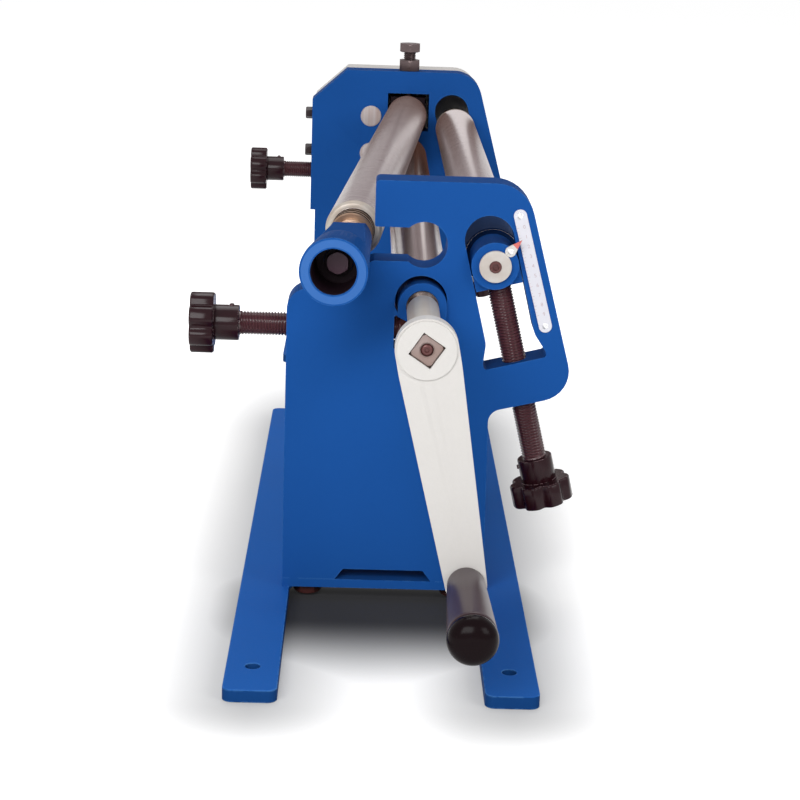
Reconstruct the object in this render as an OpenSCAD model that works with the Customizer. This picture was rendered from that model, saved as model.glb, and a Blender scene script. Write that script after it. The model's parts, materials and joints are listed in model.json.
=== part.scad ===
// Slip roll machine for sheet metal, top roll swung out of its seat.
// +Y runs along the rolls away from the crank, +X points to the rear roll, +Z is up.
// The origin lies on the bench, in the middle of the four bench bolt holes.

/* [Base] */
// Length of the base, from the front of the rails to the back of the rear feet
rail_len = 976; // [940:1:1200]
// Length of the two rails under the near frame
near_rail_len = 626; // [560:1:720]
// Rail overhang in front of the crank-side frame
rail_front = 176; // [150:1:200]
// Width of a rail
rail_w = 33; // [24:1:50]
// Thickness of a rail
rail_t = 8; // [8:0.5:12]
// Gap between the two rails
rail_gap = 124; // [112:1:128]
// Corner radius of a rail's ends
rail_corner_r = 6; // [2:0.5:10]
// Distance from a rail's end to its bench bolt hole
bench_hole_inset = 37; // [20:1:60]
// Diameter of a bench bolt hole
bench_hole_d = 9; // [5:0.5:12]
// Thickness of a crossbar
crossbar_t = 6; // [5:0.5:10]
// Width of a crossbar along the rolls
crossbar_w = 44; // [30:1:60]

/* [Frames] */
// Distance between the front faces of the two frames
frame_pitch = 670; // [400:1:760]
// Thickness of a frame
frame_t = 25; // [22:0.5:30]
// Height of a frame over its foot
frame_h = 273; // [240:1:300]
// From the middle to the frame's front edge
frame_left = 67; // [66:0.5:72]
// From the middle to the edge of the stem on the rear side
frame_right = 69.5; // [68:0.5:72]
// Extra width of the gear-side frame's head
head_step = 4.5; // [2:0.5:8]
// Slant of the rear slot and of the frame's rear edge, in degrees
slant = 14; // [10:0.5:16]

/* [Rolls] */
// Diameter of the three rolls
roll_d = 38; // [30:0.5:38]
// From the middle to the axis of the top and lower rolls
roll_x = 21.5; // [20:0.5:23]
// Depth of the seated top roll's axis under the frame's top
seat_depth = 41.5; // [40:0.5:42.5]
// Distance from the seated top roll's axis down to the lower roll's axis at rest
roll_drop = 40.3; // [39.9:0.2:42.5]
// Angle by which the top roll is swung out at rest, in degrees
swing = 4.2; // [3.8:0.1:4.6]
// Journal diameter of the top and lower rolls
journal_d = 20; // [16:0.5:20.5]
// Crank-side journal diameter of the lower roll
crank_journal_d = 21; // [18:0.5:21]
// Crank-side journal diameter of the top roll
sleeve_journal_d = 16; // [12:0.5:16.5]
// Gap between a roll's end and the frame
roll_end_gap = 2; // [1.5:0.5:4]
// Widest of the three wire grooves
groove_w = 5; // [3:0.5:6]

/* [Seat and sleeve] */
// Diameter of the round seat in the crank-side frame
seat_d = 30.2; // [29:0.1:31]
// Height of the slot that leads to the seat
seat_slot_h = 22.3; // [21:0.1:23]
// Length of the release sleeve in front of the frame
sleeve_len = 98; // [70:1:104]
// Rim diameter of the release sleeve
sleeve_rim_d = 42; // [38:0.5:46]
// Diameter of the cup in the sleeve's rim
sleeve_cup_d = 28.5; // [24:0.5:30]
// Depth of the cup
sleeve_cup_depth = 36; // [24:1:40]

/* [Screws and knobs] */
// Diameter of the four adjusting screws
screw_d = 16; // [12:0.5:17]
// Pitch of the adjusting screws
screw_pitch = 2; // [1.5:0.25:3]
// Diameter of a star knob
knob_d = 41; // [36:0.5:50]
// Thickness of a star knob's disc
knob_t = 15.5; // [10:0.5:20]
// Diameter of a knob's hub
knob_hub_d = 23.5; // [20:0.5:28]
// Length of a knob's hub
knob_hub_len = 16.5; // [12:0.5:24]
// Number of lobes on a knob
knob_lobes = 7; // [5:1:9]
// Length of a lifting screw seen between knob and frame
lift_screw_out = 31.5; // [20:0.5:50]
// Distance from the lower roll's axis down to the lifting screws
lift_screw_drop = 17.7; // [16.7:0.5:19.2]

/* [Crank] */
// Distance from the lower roll's axis to the grip's axis
crank_r = 150; // [120:1:170]
// Angle of the crank from straight down, in degrees
crank_angle = 11.2; // [-20:0.2:20]
// Distance of the arm's front face from the frame
crank_out = 122; // [100:1:140]
// Thickness of the crank arm
arm_t = 10; // [6:0.5:14]
// Diameter of the arm's boss
arm_boss_d = 38.5; // [34:0.5:44]
// Width of the arm at the grip
arm_end_w = 25; // [20:0.5:30]
// Length of the crank's tapered hub behind the arm
hub_len = 20; // [12:1:22]
// Size of the crank square across its flats
square_af = 16; // [12:0.5:17]
// Length of the grip
grip_len = 100; // [60:1:120]
// Largest diameter of the grip
grip_d = 30.5; // [24:0.5:34]

/* [Rear roll] */
// Diameter of a rear bearing block
rear_block_d = 31; // [29:0.5:31.5]
// From the middle to the rear roll's axis at rest
rear_x = 67.6; // [67:0.2:69]
// Distance from the seated top roll's axis down to the rear roll's axis at rest
rear_drop = 11.5; // [7.5:0.5:15.5]
// Travel of the rear roll upward along the slot
rear_up = 14; // [8:1:14]
// Travel of the rear roll downward along the slot
rear_down = 40; // [20:1:40]
// Journal diameter of the rear roll
rear_journal_d = 16; // [12:0.5:16]
// Width of the scale plate
scale_w = 8.6; // [6:0.2:9]
// Distance between the scale plate's rivets
scale_rivet_gap = 75; // [60:1:80]

/* [Gears] */
// Number of teeth of each gear
gear_teeth = 10; // [10:1:10]
// Pitch diameter of each gear
gear_pitch_d = 36; // [35:0.5:36]
// Width of a gear
gear_w = 10; // [6:0.5:11]
// Depth of the gear cover
cover_depth = 52; // [48:1:60]
// Wall of the gear cover
cover_wall = 2; // [1.5:0.25:3]

/* [Hidden] */
$fn = 64;

// Colours
blue = [0.10, 0.30, 0.60];
cream = [0.88, 0.87, 0.83];
steel = [0.66, 0.63, 0.62];
black = [0.10, 0.07, 0.08];
brown_screw = [0.20, 0.13, 0.14];
white = [0.93, 0.94, 0.96];

// Clearances and one overrun for every cut
cut = 1;
run_gap = 0.05;
face_gap = 0.3;
slide_gap = 0.02;
bolt_gap = 0.5;

// Places along the rolls
front_y = rail_front - rail_len / 2;
far_y = front_y + frame_pitch;
pivot_y = far_y + frame_t / 2;
near_mid_y = front_y + frame_t / 2;
back_y = far_y + frame_t;
body_start = front_y + frame_t + roll_end_gap;
body_end_gap = 6;
body_end = far_y - body_end_gap;

// Frame outline
base_z = rail_t + crossbar_t;
top_z = base_z + frame_h;
upper_z = top_z - seat_depth;
lower_z = upper_z - roll_drop;
rear_z = upper_z - rear_drop;
lift_screw_z = lower_z - lift_screw_drop;
shoulder_drop = 77.5;
shoulder_z = top_z - shoulder_drop;
shoulder_r = 14;
hook_x = -11;
hook_r = 3;
lip_r = 1.5;
slot_floor_z = upper_z - seat_slot_h / 2;
slot_top_z = upper_z + seat_slot_h / 2;
flank_top_x = 86.5;
flank_r = 26;
flank_lean = 15.3;
ear_x = 124.5;
ear_drop = 138.8;
ear_z = top_z - ear_drop;
ear_r = 20;
ear_floor_drop = 152.5;
ear_floor_z = top_z - ear_floor_drop;
stem_r = 9;
stem_top_w = frame_right - 1.2 * lip_r;
arch_half = 32.5;
arch_top_half = 27;
arch_h = 7.5;
arch_x = 1;
head_drop = 137;
head_z = top_z - head_drop;
chamfer_drop = 29;
chamfer_z = top_z - chamfer_drop;
chamfer_x = -39;

// Slot for the lower bearing block
lower_slot_x = roll_x - 1.1 * face_gap * 3;
lower_slot_r = 17.1;
lower_slot_rise = 19.9;
lower_slot_top_z = lower_z + lower_slot_rise;
lower_slot_drop = 29.2;
lower_slot_floor_z = lower_z - lower_slot_drop;
lower_block_r = 16;
block_proud = 4;

// Lifting wedge: its slope turns screw travel into lift
wedge_slope = 0.5;
wedge_w = 25;
wedge_x = 7.6;
wedge_drop = 8.2;
wedge_top_z = lower_z - wedge_drop;
wedge_t = 21;

// Swivel slot and block in the gear-side frame
swivel_slot_w = 40;
swivel_slot_drop = 15.5;
swivel_slot_floor_z = upper_z - swivel_slot_drop;
swivel_slot_rise = 20.5;
swivel_slot_top_z = upper_z + swivel_slot_rise;
swivel_block_w = 33;
swivel_block_h = 32;
swivel_block_t = 18;
swivel_pin_d = 6;
swivel_pin_len = 9;

// Rear slot, in the slanted frame whose origin is the rear roll's axis
rear_slot_w = rear_block_d + 1.4;
rear_slot_top = rear_up + 2.2;
rear_slot_bottom = 68;
relief_w = 42;
relief_h = 17;
relief_low = 4;
relief_r = 4;
relief_bend_r = 15;
rear_hub_top = 137;

// Thread ends that turn in a block
dog_d = 10;
dog_len = 6.2;
dog_groove_d = 6.8;
dog_groove_w = 3.4;
dog_pin_d = 3;
dog_pin_in = 2.7;
dog_pin_x = dog_groove_d / 2 + dog_pin_d / 2 + 2 * run_gap;

// Fasteners
m12_af = 19;
m12_d = 12;
m12_head_h = 7.5;
m12_nut_h = 10.5;
m12_out = 18.5;
m10_af = 17;
m10_d = 10;
m10_head_h = 6.4;
m10_len = 30;
foot_bolt_x = 50;
foot_bolt_inset = 13;
function foot_bolt_y(y0) = y0 < 0 ? y0 + foot_bolt_inset : y0 + crossbar_w - foot_bolt_inset;
m8_af = 13;
m8_d = 8;
m8_head_h = 5.5;
m6_af = 10;
m6_d = 6;
m6_head_h = 6.5;
m5_head_d = 9;
m5_head_h = 3;
m5_d = 5;
rivet_d = 4;
rivet_h = 0.8;
rivet_shank_d = 2;
rivet_deep = 5;
pillar_spigot = 8;
washer_t = 2.5;

// Gears and the gear side of the frame
addendum = 2.6;
dedendum = 3;
tooth_tip_w = 1.8;
tooth_root_w = 3.4;
gear_gap = 2;
gear_a_y = back_y + 7;
gear_b_y = gear_a_y + gear_w + gear_gap;
gear_seat_d = 16;
key_w = 5;
key_h = 2.5;
stud_d = 20;
stud_journal_d = 12;
clip_d = 18;
clip_t = 1.2;
idler_x = roll_x - 35.94;
idler_rise = 2.1;
idler_low_z = lower_z + idler_rise;
idler_high_z = idler_low_z + gear_pitch_d;
stud_proud = 2;
cover_inset = 2;
cover_floor_z = head_z + 2;
pillar_d = 10;
pillar_drops = [[-56, 117], [-56, 39], [50, 14], [101, 121]];
pillar_places = [for (p = pillar_drops) [p.x, top_z - p.y]];

// Top roll
nose_d = seat_d - 4 * run_gap;
flat_half = seat_slot_h / 2 - face_gap;
flat_end = 60;
cone_start = 2;
cone_start_d = 31;
rim_len = 6;
nose_in = 12;
neck_d = 21;
groove_part_d = 29;
groove_part_len = 19;
sleeve_washer_d = 18;

// Crank and rear details
hub_wall = 4;
crank_neck_d = 16;
neck_len = 12;
ring_h = 1.5;
ring_d = 36;
pin_d = 8;
rear_washer_d = 21;
rear_proud = 6;
pointer_t = 1;
pointer_w = 5.6;
pointer_angle = 47;
pointer_reach = 23;
pointer_rivet_at = 13.7;
pointer_rivet_d = 2.4;
scale_t = 1;
scale_x = 82.7;
scale_drop = 20.6;
scale_z = top_z - scale_drop;
weld_leg = 3;

// Points of a corner at b between a and c, rounded to radius r
function unit(v) = v / norm(v);
function turn_of(a, b) = let (d = b - a) d > 180 ? d - 360 : d < -180 ? d + 360 : d;
function corner(a, b, c, r, n) =
    r <= 0 ? [b] :
    let (u = unit(a - b), v = unit(c - b), half = acos(u * v) / 2,
        m = b + unit(u + v) * r / sin(half), p = b + u * r / tan(half) - m,
        q = b + v * r / tan(half) - m, start = atan2(p.y, p.x),
        turn = turn_of(start, atan2(q.y, q.x)))
    [for (i = [0 : n]) m + r * [cos(start + turn * i / n), sin(start + turn * i / n)]];
function flat2(p) = [p.x, p.y];
// Outline whose points each carry a corner radius
function rounded(pts, n = 8) =
    let (k = len(pts))
    [for (i = [0 : k - 1])
        each corner(flat2(pts[(i + k - 1) % k]), flat2(pts[i]), flat2(pts[(i + 1) % k]),
            pts[i].z, n)];

// Rear side and foot shared by both frames, from the top corner round to the arch
function rear_side() = [
    [flank_top_x, top_z, flank_r],
    [ear_x, ear_z, ear_r],
    [stem_top_w, ear_floor_z, stem_r],
    [frame_right, base_z, 0],
    [arch_x + arch_half, base_z, 0],
    [arch_x + arch_top_half, base_z + arch_h, lip_r],
    [arch_x - arch_top_half, base_z + arch_h, lip_r],
    [arch_x - arch_half, base_z, 0],
    [-frame_left, base_z, 0]];

near_outline = rounded(concat([
    [-frame_left, shoulder_z, shoulder_r],
    [hook_x, slot_floor_z, lip_r],
    [roll_x, slot_floor_z, 0],
    [roll_x, slot_top_z, 0],
    [hook_x, slot_top_z, lip_r],
    [hook_x, top_z, hook_r]], rear_side()));

far_outline = rounded(concat([
    [-frame_left, head_z, 0],
    [-frame_left - head_step, head_z, 0],
    [-frame_left - head_step, chamfer_z, 0],
    [chamfer_x, top_z, 0]], rear_side()));

// Extrudes an outline drawn in X and Z from y0 over t along the rolls
module slab(y0, t) {
    translate([0, y0 + t, 0]) rotate([90, 0, 0]) linear_extrude(t) children();
}

// Cylinder along the rolls
module rod(x, z, y0, len, d) {
    translate([x, y0 + len, z]) rotate([90, 0, 0]) cylinder(h = len, d = d);
}

module hex(af, h) {
    cylinder(h = h, d = af / cos(30), $fn = 6);
}

// Hex bolt whose head stands on z = 0 and whose shank points down
module hex_bolt(af, head_h, d, len) {
    hex(af, head_h);
    translate([0, 0, -len]) cylinder(h = len + head_h / 2, d = d);
}

// Places children in the slanted frame: origin on the rear axis, -Z along the screw
module slanted() {
    translate([rear_x, 0, rear_z]) rotate([0, -slant, 0]) children();
}

// Places children in the frame of the swung-out top roll, origin on the pivot
module swung() {
    translate([roll_x, pivot_y, upper_z]) rotate([0, 0, -swing])
        translate([0, -pivot_y, 0]) children();
}

module rail(side) {
    color(blue)
    difference() {
        for (span = [[-rail_len / 2, near_rail_len - rail_len / 2], [far_bar_y - far_foot_lead, rail_len / 2]])
            translate([side * (rail_gap + rail_w) / 2, 0, 0]) linear_extrude(rail_t)
                polygon(rounded([
                    [-rail_w / 2, span[0], rail_corner_r],
                    [rail_w / 2, span[0], rail_corner_r],
                    [rail_w / 2, span[1], rail_corner_r],
                    [-rail_w / 2, span[1], rail_corner_r]]));
        for (end = [-1, 1])
            translate([side * (rail_gap + rail_w) / 2, end * (rail_len / 2 - bench_hole_inset), -cut])
                cylinder(h = rail_t + 2 * cut, d = bench_hole_d);
    }
}

module crossbar(y0) {
    color(blue)
    difference() {
        translate([-frame_left, y0, rail_t])
            cube([frame_left + frame_right, crossbar_w, crossbar_t]);
        for (side = [-1, 1])
            translate([side * foot_bolt_x, foot_bolt_y(y0), rail_t - cut])
                cylinder(h = crossbar_t + 2 * cut, d = m10_d + bolt_gap);
    }
}

// The crossbars reach behind the near frame and in front of the far frame
near_bar_y = front_y;
far_bar_y = back_y - crossbar_w;
// The rear feet start just before the far crossbar
far_foot_lead = 4;

module weld_beads() {
    color(blue)
    for (y0 = [near_bar_y, far_bar_y], side = [-1, 1])
        translate([side * rail_gap / 2, y0, rail_t]) slab(0, crossbar_w)
            polygon([[0, 0], [-side * weld_leg, 0], [0, -weld_leg]]);
}

module foot_bolts() {
    color(black)
    for (y0 = [near_bar_y, far_bar_y], side = [-1, 1])
        translate([side * foot_bolt_x, foot_bolt_y(y0), rail_t]) rotate([180, 0, 30])
            hex_bolt(m10_af, m10_head_h, m10_d, m10_len);
}

// Feet widen the frame plates towards the middle of the bench
module foot(y0) {
    for (side = [-1, 1])
        difference() {
            translate([side * foot_bolt_x - foot_pad / 2, y0, base_z])
                cube([foot_pad, crossbar_w, foot_pad_h]);
            translate([side * foot_bolt_x, foot_bolt_y(y0), base_z - cut])
                cylinder(h = m10_len, d = m10_d);
        }
}
foot_pad = 30;
foot_pad_h = 28;

module lower_slot(y0) {
    slab(y0 - cut, frame_t + 2 * cut) {
        translate([lower_slot_x, lower_slot_top_z - lower_slot_r]) circle(r = lower_slot_r);
        translate([lower_slot_x - lower_slot_r, lower_slot_floor_z])
            square([2 * lower_slot_r, lower_slot_top_z - lower_slot_r - lower_slot_floor_z]);
    }
}

module rear_slot(y0) {
    slanted() {
        slab(y0 - cut, frame_t + 2 * cut) {
            translate([0, rear_slot_top]) circle(d = rear_slot_w);
            translate([-rear_slot_w / 2, -rear_slot_bottom])
                square([rear_slot_w, rear_slot_bottom + rear_slot_top]);
        }
        slab(y0 - cut, frame_t + 2 * cut)
            polygon(rounded([
                [-relief_w / 2, -rear_slot_bottom, relief_r / 2],
                [relief_w / 2, -rear_slot_bottom, relief_r / 2],
                [relief_w / 2, relief_low - rear_slot_bottom, lip_r],
                [rear_slot_w / 2, relief_h - rear_slot_bottom, relief_bend_r],
                [rear_slot_w / 2, 0, 0],
                [-rear_slot_w / 2, 0, 0],
                [-rear_slot_w / 2, relief_h - rear_slot_bottom, relief_bend_r],
                [-relief_w / 2, relief_low - rear_slot_bottom, lip_r]]));
        translate([0, y0 + frame_t / 2, -rear_hub_top])
            cylinder(h = rear_hub_top, d = screw_d + 2 * run_gap);
    }
}

module lift_hole(y0) {
    translate([-frame_left - head_step - cut, y0 + frame_t / 2, lift_screw_z]) rotate([0, 90, 0])
        cylinder(h = frame_left + head_step + roll_x, d = screw_d + 2 * run_gap);
}

module foot_bolt_holes(y0) {
    for (side = [-1, 1])
        translate([side * foot_bolt_x, foot_bolt_y(y0), base_z - cut])
            cylinder(h = m10_len, d = m10_d);
}

module near_frame() {
    color(blue)
    difference() {
        union() {
            slab(front_y, frame_t) polygon(near_outline);
            foot(near_bar_y);
        }
        rod(roll_x, upper_z, front_y - cut, frame_t + 2 * cut, seat_d);
        lower_slot(front_y);
        rear_slot(front_y);
        lift_hole(front_y);
        foot_bolt_holes(near_bar_y);
        for (at = [0, scale_rivet_gap])
            on_scale() rod(0, -at, -cut, rivet_deep + cut, rivet_shank_d);
    }
}

module far_frame() {
    color(blue)
    difference() {
        union() {
            slab(far_y, frame_t) polygon(far_outline);
            foot(far_bar_y);
        }
        translate([roll_x - swivel_slot_w / 2, far_y - cut, swivel_slot_floor_z])
            cube([swivel_slot_w, frame_t + 2 * cut, swivel_slot_top_z - swivel_slot_floor_z]);
        lower_slot(far_y);
        rear_slot(far_y);
        lift_hole(far_y);
        foot_bolt_holes(far_bar_y);
        for (z = [idler_low_z, idler_high_z]) {
            rod(idler_x, z, far_y - cut, frame_t + 2 * cut, stud_d);
            translate([-frame_left - head_step - cut, pivot_y, z]) rotate([0, 90, 0])
                cylinder(h = frame_left, d = m6_d);
        }
        translate([roll_x, pivot_y, swivel_slot_top_z - cut])
            cylinder(h = top_z - swivel_slot_top_z + 2 * cut, d = m12_d);
        translate([roll_x, pivot_y, swivel_slot_floor_z - swivel_pin_len / 2])
            cylinder(h = swivel_pin_len, d = swivel_pin_d);
        for (p = pillar_places)
            rod(p.x, p.y, back_y - pillar_spigot, pillar_spigot + cut, m6_d);
    }
}

// Vertical bolt on whose end the swivel block turns
swivel_tip_len = 5;
module swivel_bolt() {
    color(steel)
    translate([roll_x, pivot_y, top_z + m12_out]) {
        hex_bolt(m12_af, m12_head_h, m12_d, m12_out + top_z - swivel_slot_top_z);
        translate([0, 0, swivel_block_top - top_z - m12_out - swivel_tip_len])
            cylinder(h = swivel_slot_top_z - swivel_block_top + swivel_tip_len, d = swivel_pin_d);
    }
}
swivel_block_top = swivel_slot_floor_z + slide_gap + swivel_block_h;

module swivel_locknut() {
    color(steel)
    translate([roll_x, pivot_y, top_z]) difference() {
        hex(m12_af, m12_nut_h);
        translate([0, 0, -cut]) cylinder(h = m12_nut_h + 2 * cut, d = m12_d);
    }
}

module swivel_pin() {
    color(steel)
    translate([roll_x, pivot_y, swivel_slot_floor_z - swivel_pin_len / 2])
        cylinder(h = swivel_pin_len, d = swivel_pin_d);
}

module swivel_block() {
    color(steel)
    swung() difference() {
        translate([-swivel_block_w / 2, pivot_y - swivel_block_t / 2,
                swivel_slot_floor_z + slide_gap - upper_z])
            cube([swivel_block_w, swivel_block_t, swivel_block_h]);
        rod(0, 0, pivot_y - swivel_block_t, 2 * swivel_block_t, journal_d + 2 * run_gap);
        translate([0, pivot_y, swivel_slot_floor_z - upper_z - cut])
            cylinder(h = swivel_pin_len / 2 + cut + face_gap, d = swivel_pin_d + 2 * run_gap);
        translate([0, pivot_y, swivel_block_top - upper_z - swivel_tip_len - face_gap])
            cylinder(h = swivel_tip_len + face_gap + cut, d = swivel_pin_d + 2 * run_gap);
    }
}

// Ring groove round a part of the top roll
module ring_groove(y, part_d, w) {
    translate([0, y, 0]) rotate([90, 0, 0])
        rotate_extrude() translate([part_d / 2 + w / 8, 0]) circle(d = w, $fn = 24);
}

groove_part_y = front_y + frame_t + roll_end_gap;
upper_start = groove_part_y + groove_part_len;
upper_end = gear_b_y + gear_w + m12_nut_h + 1.5 * washer_t;
sleeve_bottom = sleeve_len - sleeve_cup_depth;
journal_end = front_y - sleeve_bottom - face_gap;
module upper_roll() {
    color(steel)
    swung() difference() {
        union() {
            rod(0, 0, upper_start, body_end - upper_start, roll_d);
            rod(0, 0, groove_part_y, groove_part_len + cut, groove_part_d);
            rod(0, 0, front_y + nose_in + face_gap, frame_t + roll_end_gap - nose_in, neck_d);
            rod(0, 0, journal_end, groove_part_y - journal_end + cut, sleeve_journal_d);
            rod(0, 0, body_end - cut, gear_b_y - body_end + cut, journal_d);
            rod(0, 0, gear_b_y - cut, gear_w + cut, gear_seat_d);
            rod(0, 0, gear_b_y, upper_end - gear_b_y, m12_d);
        }
        for (i = [0 : 2])
            ring_groove(groove_part_y + groove_part_len * (1 - (i + 0.5) / 3), groove_part_d,
                groove_w * (1 - i / 6));
        for (i = [0 : 1])
            ring_groove(groove_part_y - groove_w * (1 + i), neck_d, groove_w / 2);
        translate([-key_w / 2, gear_b_y - cut, gear_seat_d / 2 - key_h])
            cube([key_w, gear_w + 2 * cut, key_h + cut]);
        rod(0, 0, journal_end - cut, sleeve_screw_len + cut, m8_d);
    }
}
sleeve_screw_len = 18;

function gear_points(n, r_root, r_tip, w_root, w_tip) =
    [for (i = [0 : n - 1]) let (a = 360 * i / n)
        each [for (p = [[r_root, -w_root / 2], [r_tip, -w_tip / 2],
                [r_tip, w_tip / 2], [r_root, w_root / 2]])
            [p.x * cos(a) - p.y * sin(a), p.x * sin(a) + p.y * cos(a)]]];

// Gear on the axis x = 0, z = 0; phase turns it by a share of one tooth
module gear(y0, w, bore_d, phase_share, keyed) {
    difference() {
        slab(y0, w) rotate(phase_share * 360 / gear_teeth)
            polygon(gear_points(gear_teeth, gear_pitch_d / 2 - dedendum,
                gear_pitch_d / 2 + addendum, tooth_root_w, tooth_tip_w));
        rod(0, 0, y0 - cut, w + 2 * cut, bore_d);
        if (keyed)
            translate([-key_w / 2, y0 - cut, 0]) cube([key_w, w + 2 * cut, bore_d / 2 + key_h]);
    }
}

// Share of a tooth by which the next gear is turned, seen at angle a from the one before
tooth_angle = 360 / gear_teeth;
function next_share(a, share_before) = (2 * a + 180) / tooth_angle - 0.5 - share_before;
low_share = next_share(atan2(idler_low_z - lower_z, idler_x - roll_x), 0);
high_share = next_share(90, low_share);
upper_share = next_share(atan2(upper_z - idler_high_z, roll_x - idler_x), high_share);

module gear_key(y0) {
    translate([-key_w / 2, y0, gear_seat_d / 2 - key_h]) cube([key_w, gear_w, 2 * key_h]);
}

module gear_nut(y0) {
    translate([0, y0, 0]) rotate([-90, 0, 0]) difference() {
        hex(m12_af, m12_nut_h);
        translate([0, 0, -cut]) cylinder(h = m12_nut_h + 2 * cut, d = m12_d);
    }
}

module upper_gear() {
    color(steel) swung() gear(gear_b_y, gear_w, gear_seat_d, upper_share, true);
}
module upper_gear_key() { color(steel) swung() gear_key(gear_b_y); }
module upper_gear_nut() { color(steel) swung() gear_nut(gear_b_y + gear_w); }

module sleeve_washer() {
    color(steel)
    swung() difference() {
        rod(0, 0, journal_end - washer_t, washer_t, sleeve_washer_d);
        rod(0, 0, journal_end - washer_t - cut, washer_t + 2 * cut, m8_d);
    }
}

module sleeve_bolt() {
    color(steel)
    swung() translate([0, journal_end - washer_t, 0]) rotate([90, 0, 0])
        hex_bolt(m8_af, m8_head_h, m8_d, sleeve_screw_len + washer_t);
}

// Sleeve that turns on the journal: its flats pass the slot, its round seats in the frame
module release_sleeve() {
    nose_end = front_y + nose_in;
    color(blue)
    swung() difference() {
        union() {
            rod(0, 0, front_y - cone_start, nose_end - front_y + cone_start, nose_d);
            translate([0, front_y - cone_start, 0]) rotate([90, 0, 0])
                cylinder(h = sleeve_len - rim_len - cone_start, d1 = cone_start_d, d2 = sleeve_rim_d);
            rod(0, 0, front_y - sleeve_len, rim_len, sleeve_rim_d);
        }
        rod(0, 0, front_y - sleeve_len - cut, sleeve_len + nose_in + 2 * cut,
            sleeve_journal_d + 2 * run_gap);
        rod(0, 0, front_y - sleeve_len - cut, sleeve_cup_depth + cut, sleeve_cup_d);
        for (side = [-1, 1])
            translate([-sleeve_rim_d / 2, front_y - flat_end,
                    side > 0 ? flat_half : -flat_half - sleeve_rim_d])
                cube([sleeve_rim_d, flat_end + nose_in + cut, sleeve_rim_d]);
    }
}

// Lower bearing block: round over the journal, sloped underneath
function slope_z(x) = wedge_top_z + slide_gap - wedge_slope * (x - wedge_x);
block_back_gap = 0.5;
module lower_block(y0, proud_front, bore_d) {
    x0 = roll_x - lower_block_r;
    x1 = roll_x + lower_block_r;
    len = frame_t + roll_end_gap - block_back_gap + proud_front;
    color(blue)
    difference() {
        union() {
            rod(roll_x, lower_z, y0, len, 2 * lower_block_r);
            slab(y0, len) polygon([[x0, slope_z(x0)], [x1, slope_z(x1)],
                [x1, lower_z], [x0, lower_z]]);
        }
        rod(roll_x, lower_z, y0 - cut, len + 2 * cut, bore_d);
        slab(y0 - cut, len + 2 * cut) polygon([
            [x0 - cut, slope_z(x0 - cut)], [x0 - cut, lower_slot_floor_z],
            [x1 + cut, lower_slot_floor_z], [x1 + cut, slope_z(x1 + cut)]]);
    }
}
module lower_block_near() {
    lower_block(front_y - block_proud, block_proud, crank_journal_d + 2 * run_gap);
}
module lower_block_far() {
    lower_block(far_y - roll_end_gap + block_back_gap, 0, journal_d + 2 * run_gap);
}

lower_end = gear_a_y + gear_w + m12_nut_h + 1.5 * washer_t;
lower_body_end = far_y - roll_end_gap;
square_start = front_y - crank_out + arm_t + hub_len;
neck_start = front_y - block_proud - neck_len;
module lower_roll() {
    color(steel)
    translate([roll_x, 0, lower_z]) difference() {
        union() {
            rod(0, 0, body_start, lower_body_end - body_start, roll_d);
            rod(0, 0, square_start, neck_start - square_start, crank_journal_d);
            rod(0, 0, neck_start - cut, neck_len + 2 * cut, crank_neck_d);
            rod(0, 0, neck_start + neck_len, body_start - neck_start - neck_len + cut,
                crank_journal_d);
            intersection() {
                rod(0, 0, front_y - crank_out, crank_out, crank_journal_d);
                rotate([0, -crank_angle + 45, 0])
                    translate([-square_af / 2, front_y - crank_out - cut, -square_af / 2])
                        cube([square_af, crank_out, square_af]);
            }
            rod(0, 0, lower_body_end - cut, gear_a_y - lower_body_end + cut, journal_d);
            rod(0, 0, gear_a_y - cut, gear_w + cut, gear_seat_d);
            rod(0, 0, gear_a_y, lower_end - gear_a_y, m12_d);
        }
        translate([-key_w / 2, gear_a_y - cut, gear_seat_d / 2 - key_h])
            cube([key_w, gear_w + 2 * cut, key_h + cut]);
        rod(0, 0, front_y - crank_out - cut, crank_screw_len + 2 * cut, m8_d);
    }
}
crank_screw_len = 16;

module at_lower() { translate([roll_x, 0, lower_z]) children(); }
module lower_gear() { color(steel) at_lower() gear(gear_a_y, gear_w, gear_seat_d, 0, true); }
module lower_gear_key() { color(steel) at_lower() gear_key(gear_a_y); }
module lower_gear_nut() { color(steel) at_lower() gear_nut(gear_a_y + gear_w); }

// Crank frame: origin on the lower roll's axis, -Z along the arm
module cranked() { at_lower() rotate([0, -crank_angle, 0]) children(); }

module crank_arm() {
    arm_y = front_y - crank_out;
    color(cream)
    cranked() difference() {
        union() {
            slab(arm_y, arm_t) polygon(rounded([
                [-arm_boss_d / 2, arm_boss_d / 2, arm_boss_d / 2.02],
                [-arm_boss_d / 2, -arm_boss_d / 3, arm_boss_d],
                [-arm_end_w / 2, -crank_r - arm_end_w / 2, arm_end_w / 2.1],
                [arm_end_w / 2, -crank_r - arm_end_w / 2, arm_end_w / 2.1],
                [arm_boss_d / 2, -arm_boss_d / 3, arm_boss_d],
                [arm_boss_d / 2, arm_boss_d / 2, arm_boss_d / 2.02]], 14));
            rod(0, 0, arm_y - ring_h, ring_h + cut, ring_d);
            translate([0, arm_y + arm_t + hub_len, 0]) rotate([90, 0, 0])
                cylinder(h = hub_len, d1 = crank_journal_d + hub_wall, d2 = arm_boss_d);
        }
        rotate([0, 45, 0])
            translate([-square_af / 2 - run_gap, arm_y - ring_h - cut, -square_af / 2 - run_gap])
                cube([square_af + 2 * run_gap, arm_t + hub_len + ring_h + 2 * cut,
                    square_af + 2 * run_gap]);
        rod(0, -crank_r, arm_y - cut, arm_t + 2 * cut, pin_d);
    }
}

module crank_screw() {
    color(black)
    cranked() rod(0, 0, front_y - crank_out + cut, crank_screw_len, m8_d);
}

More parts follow.
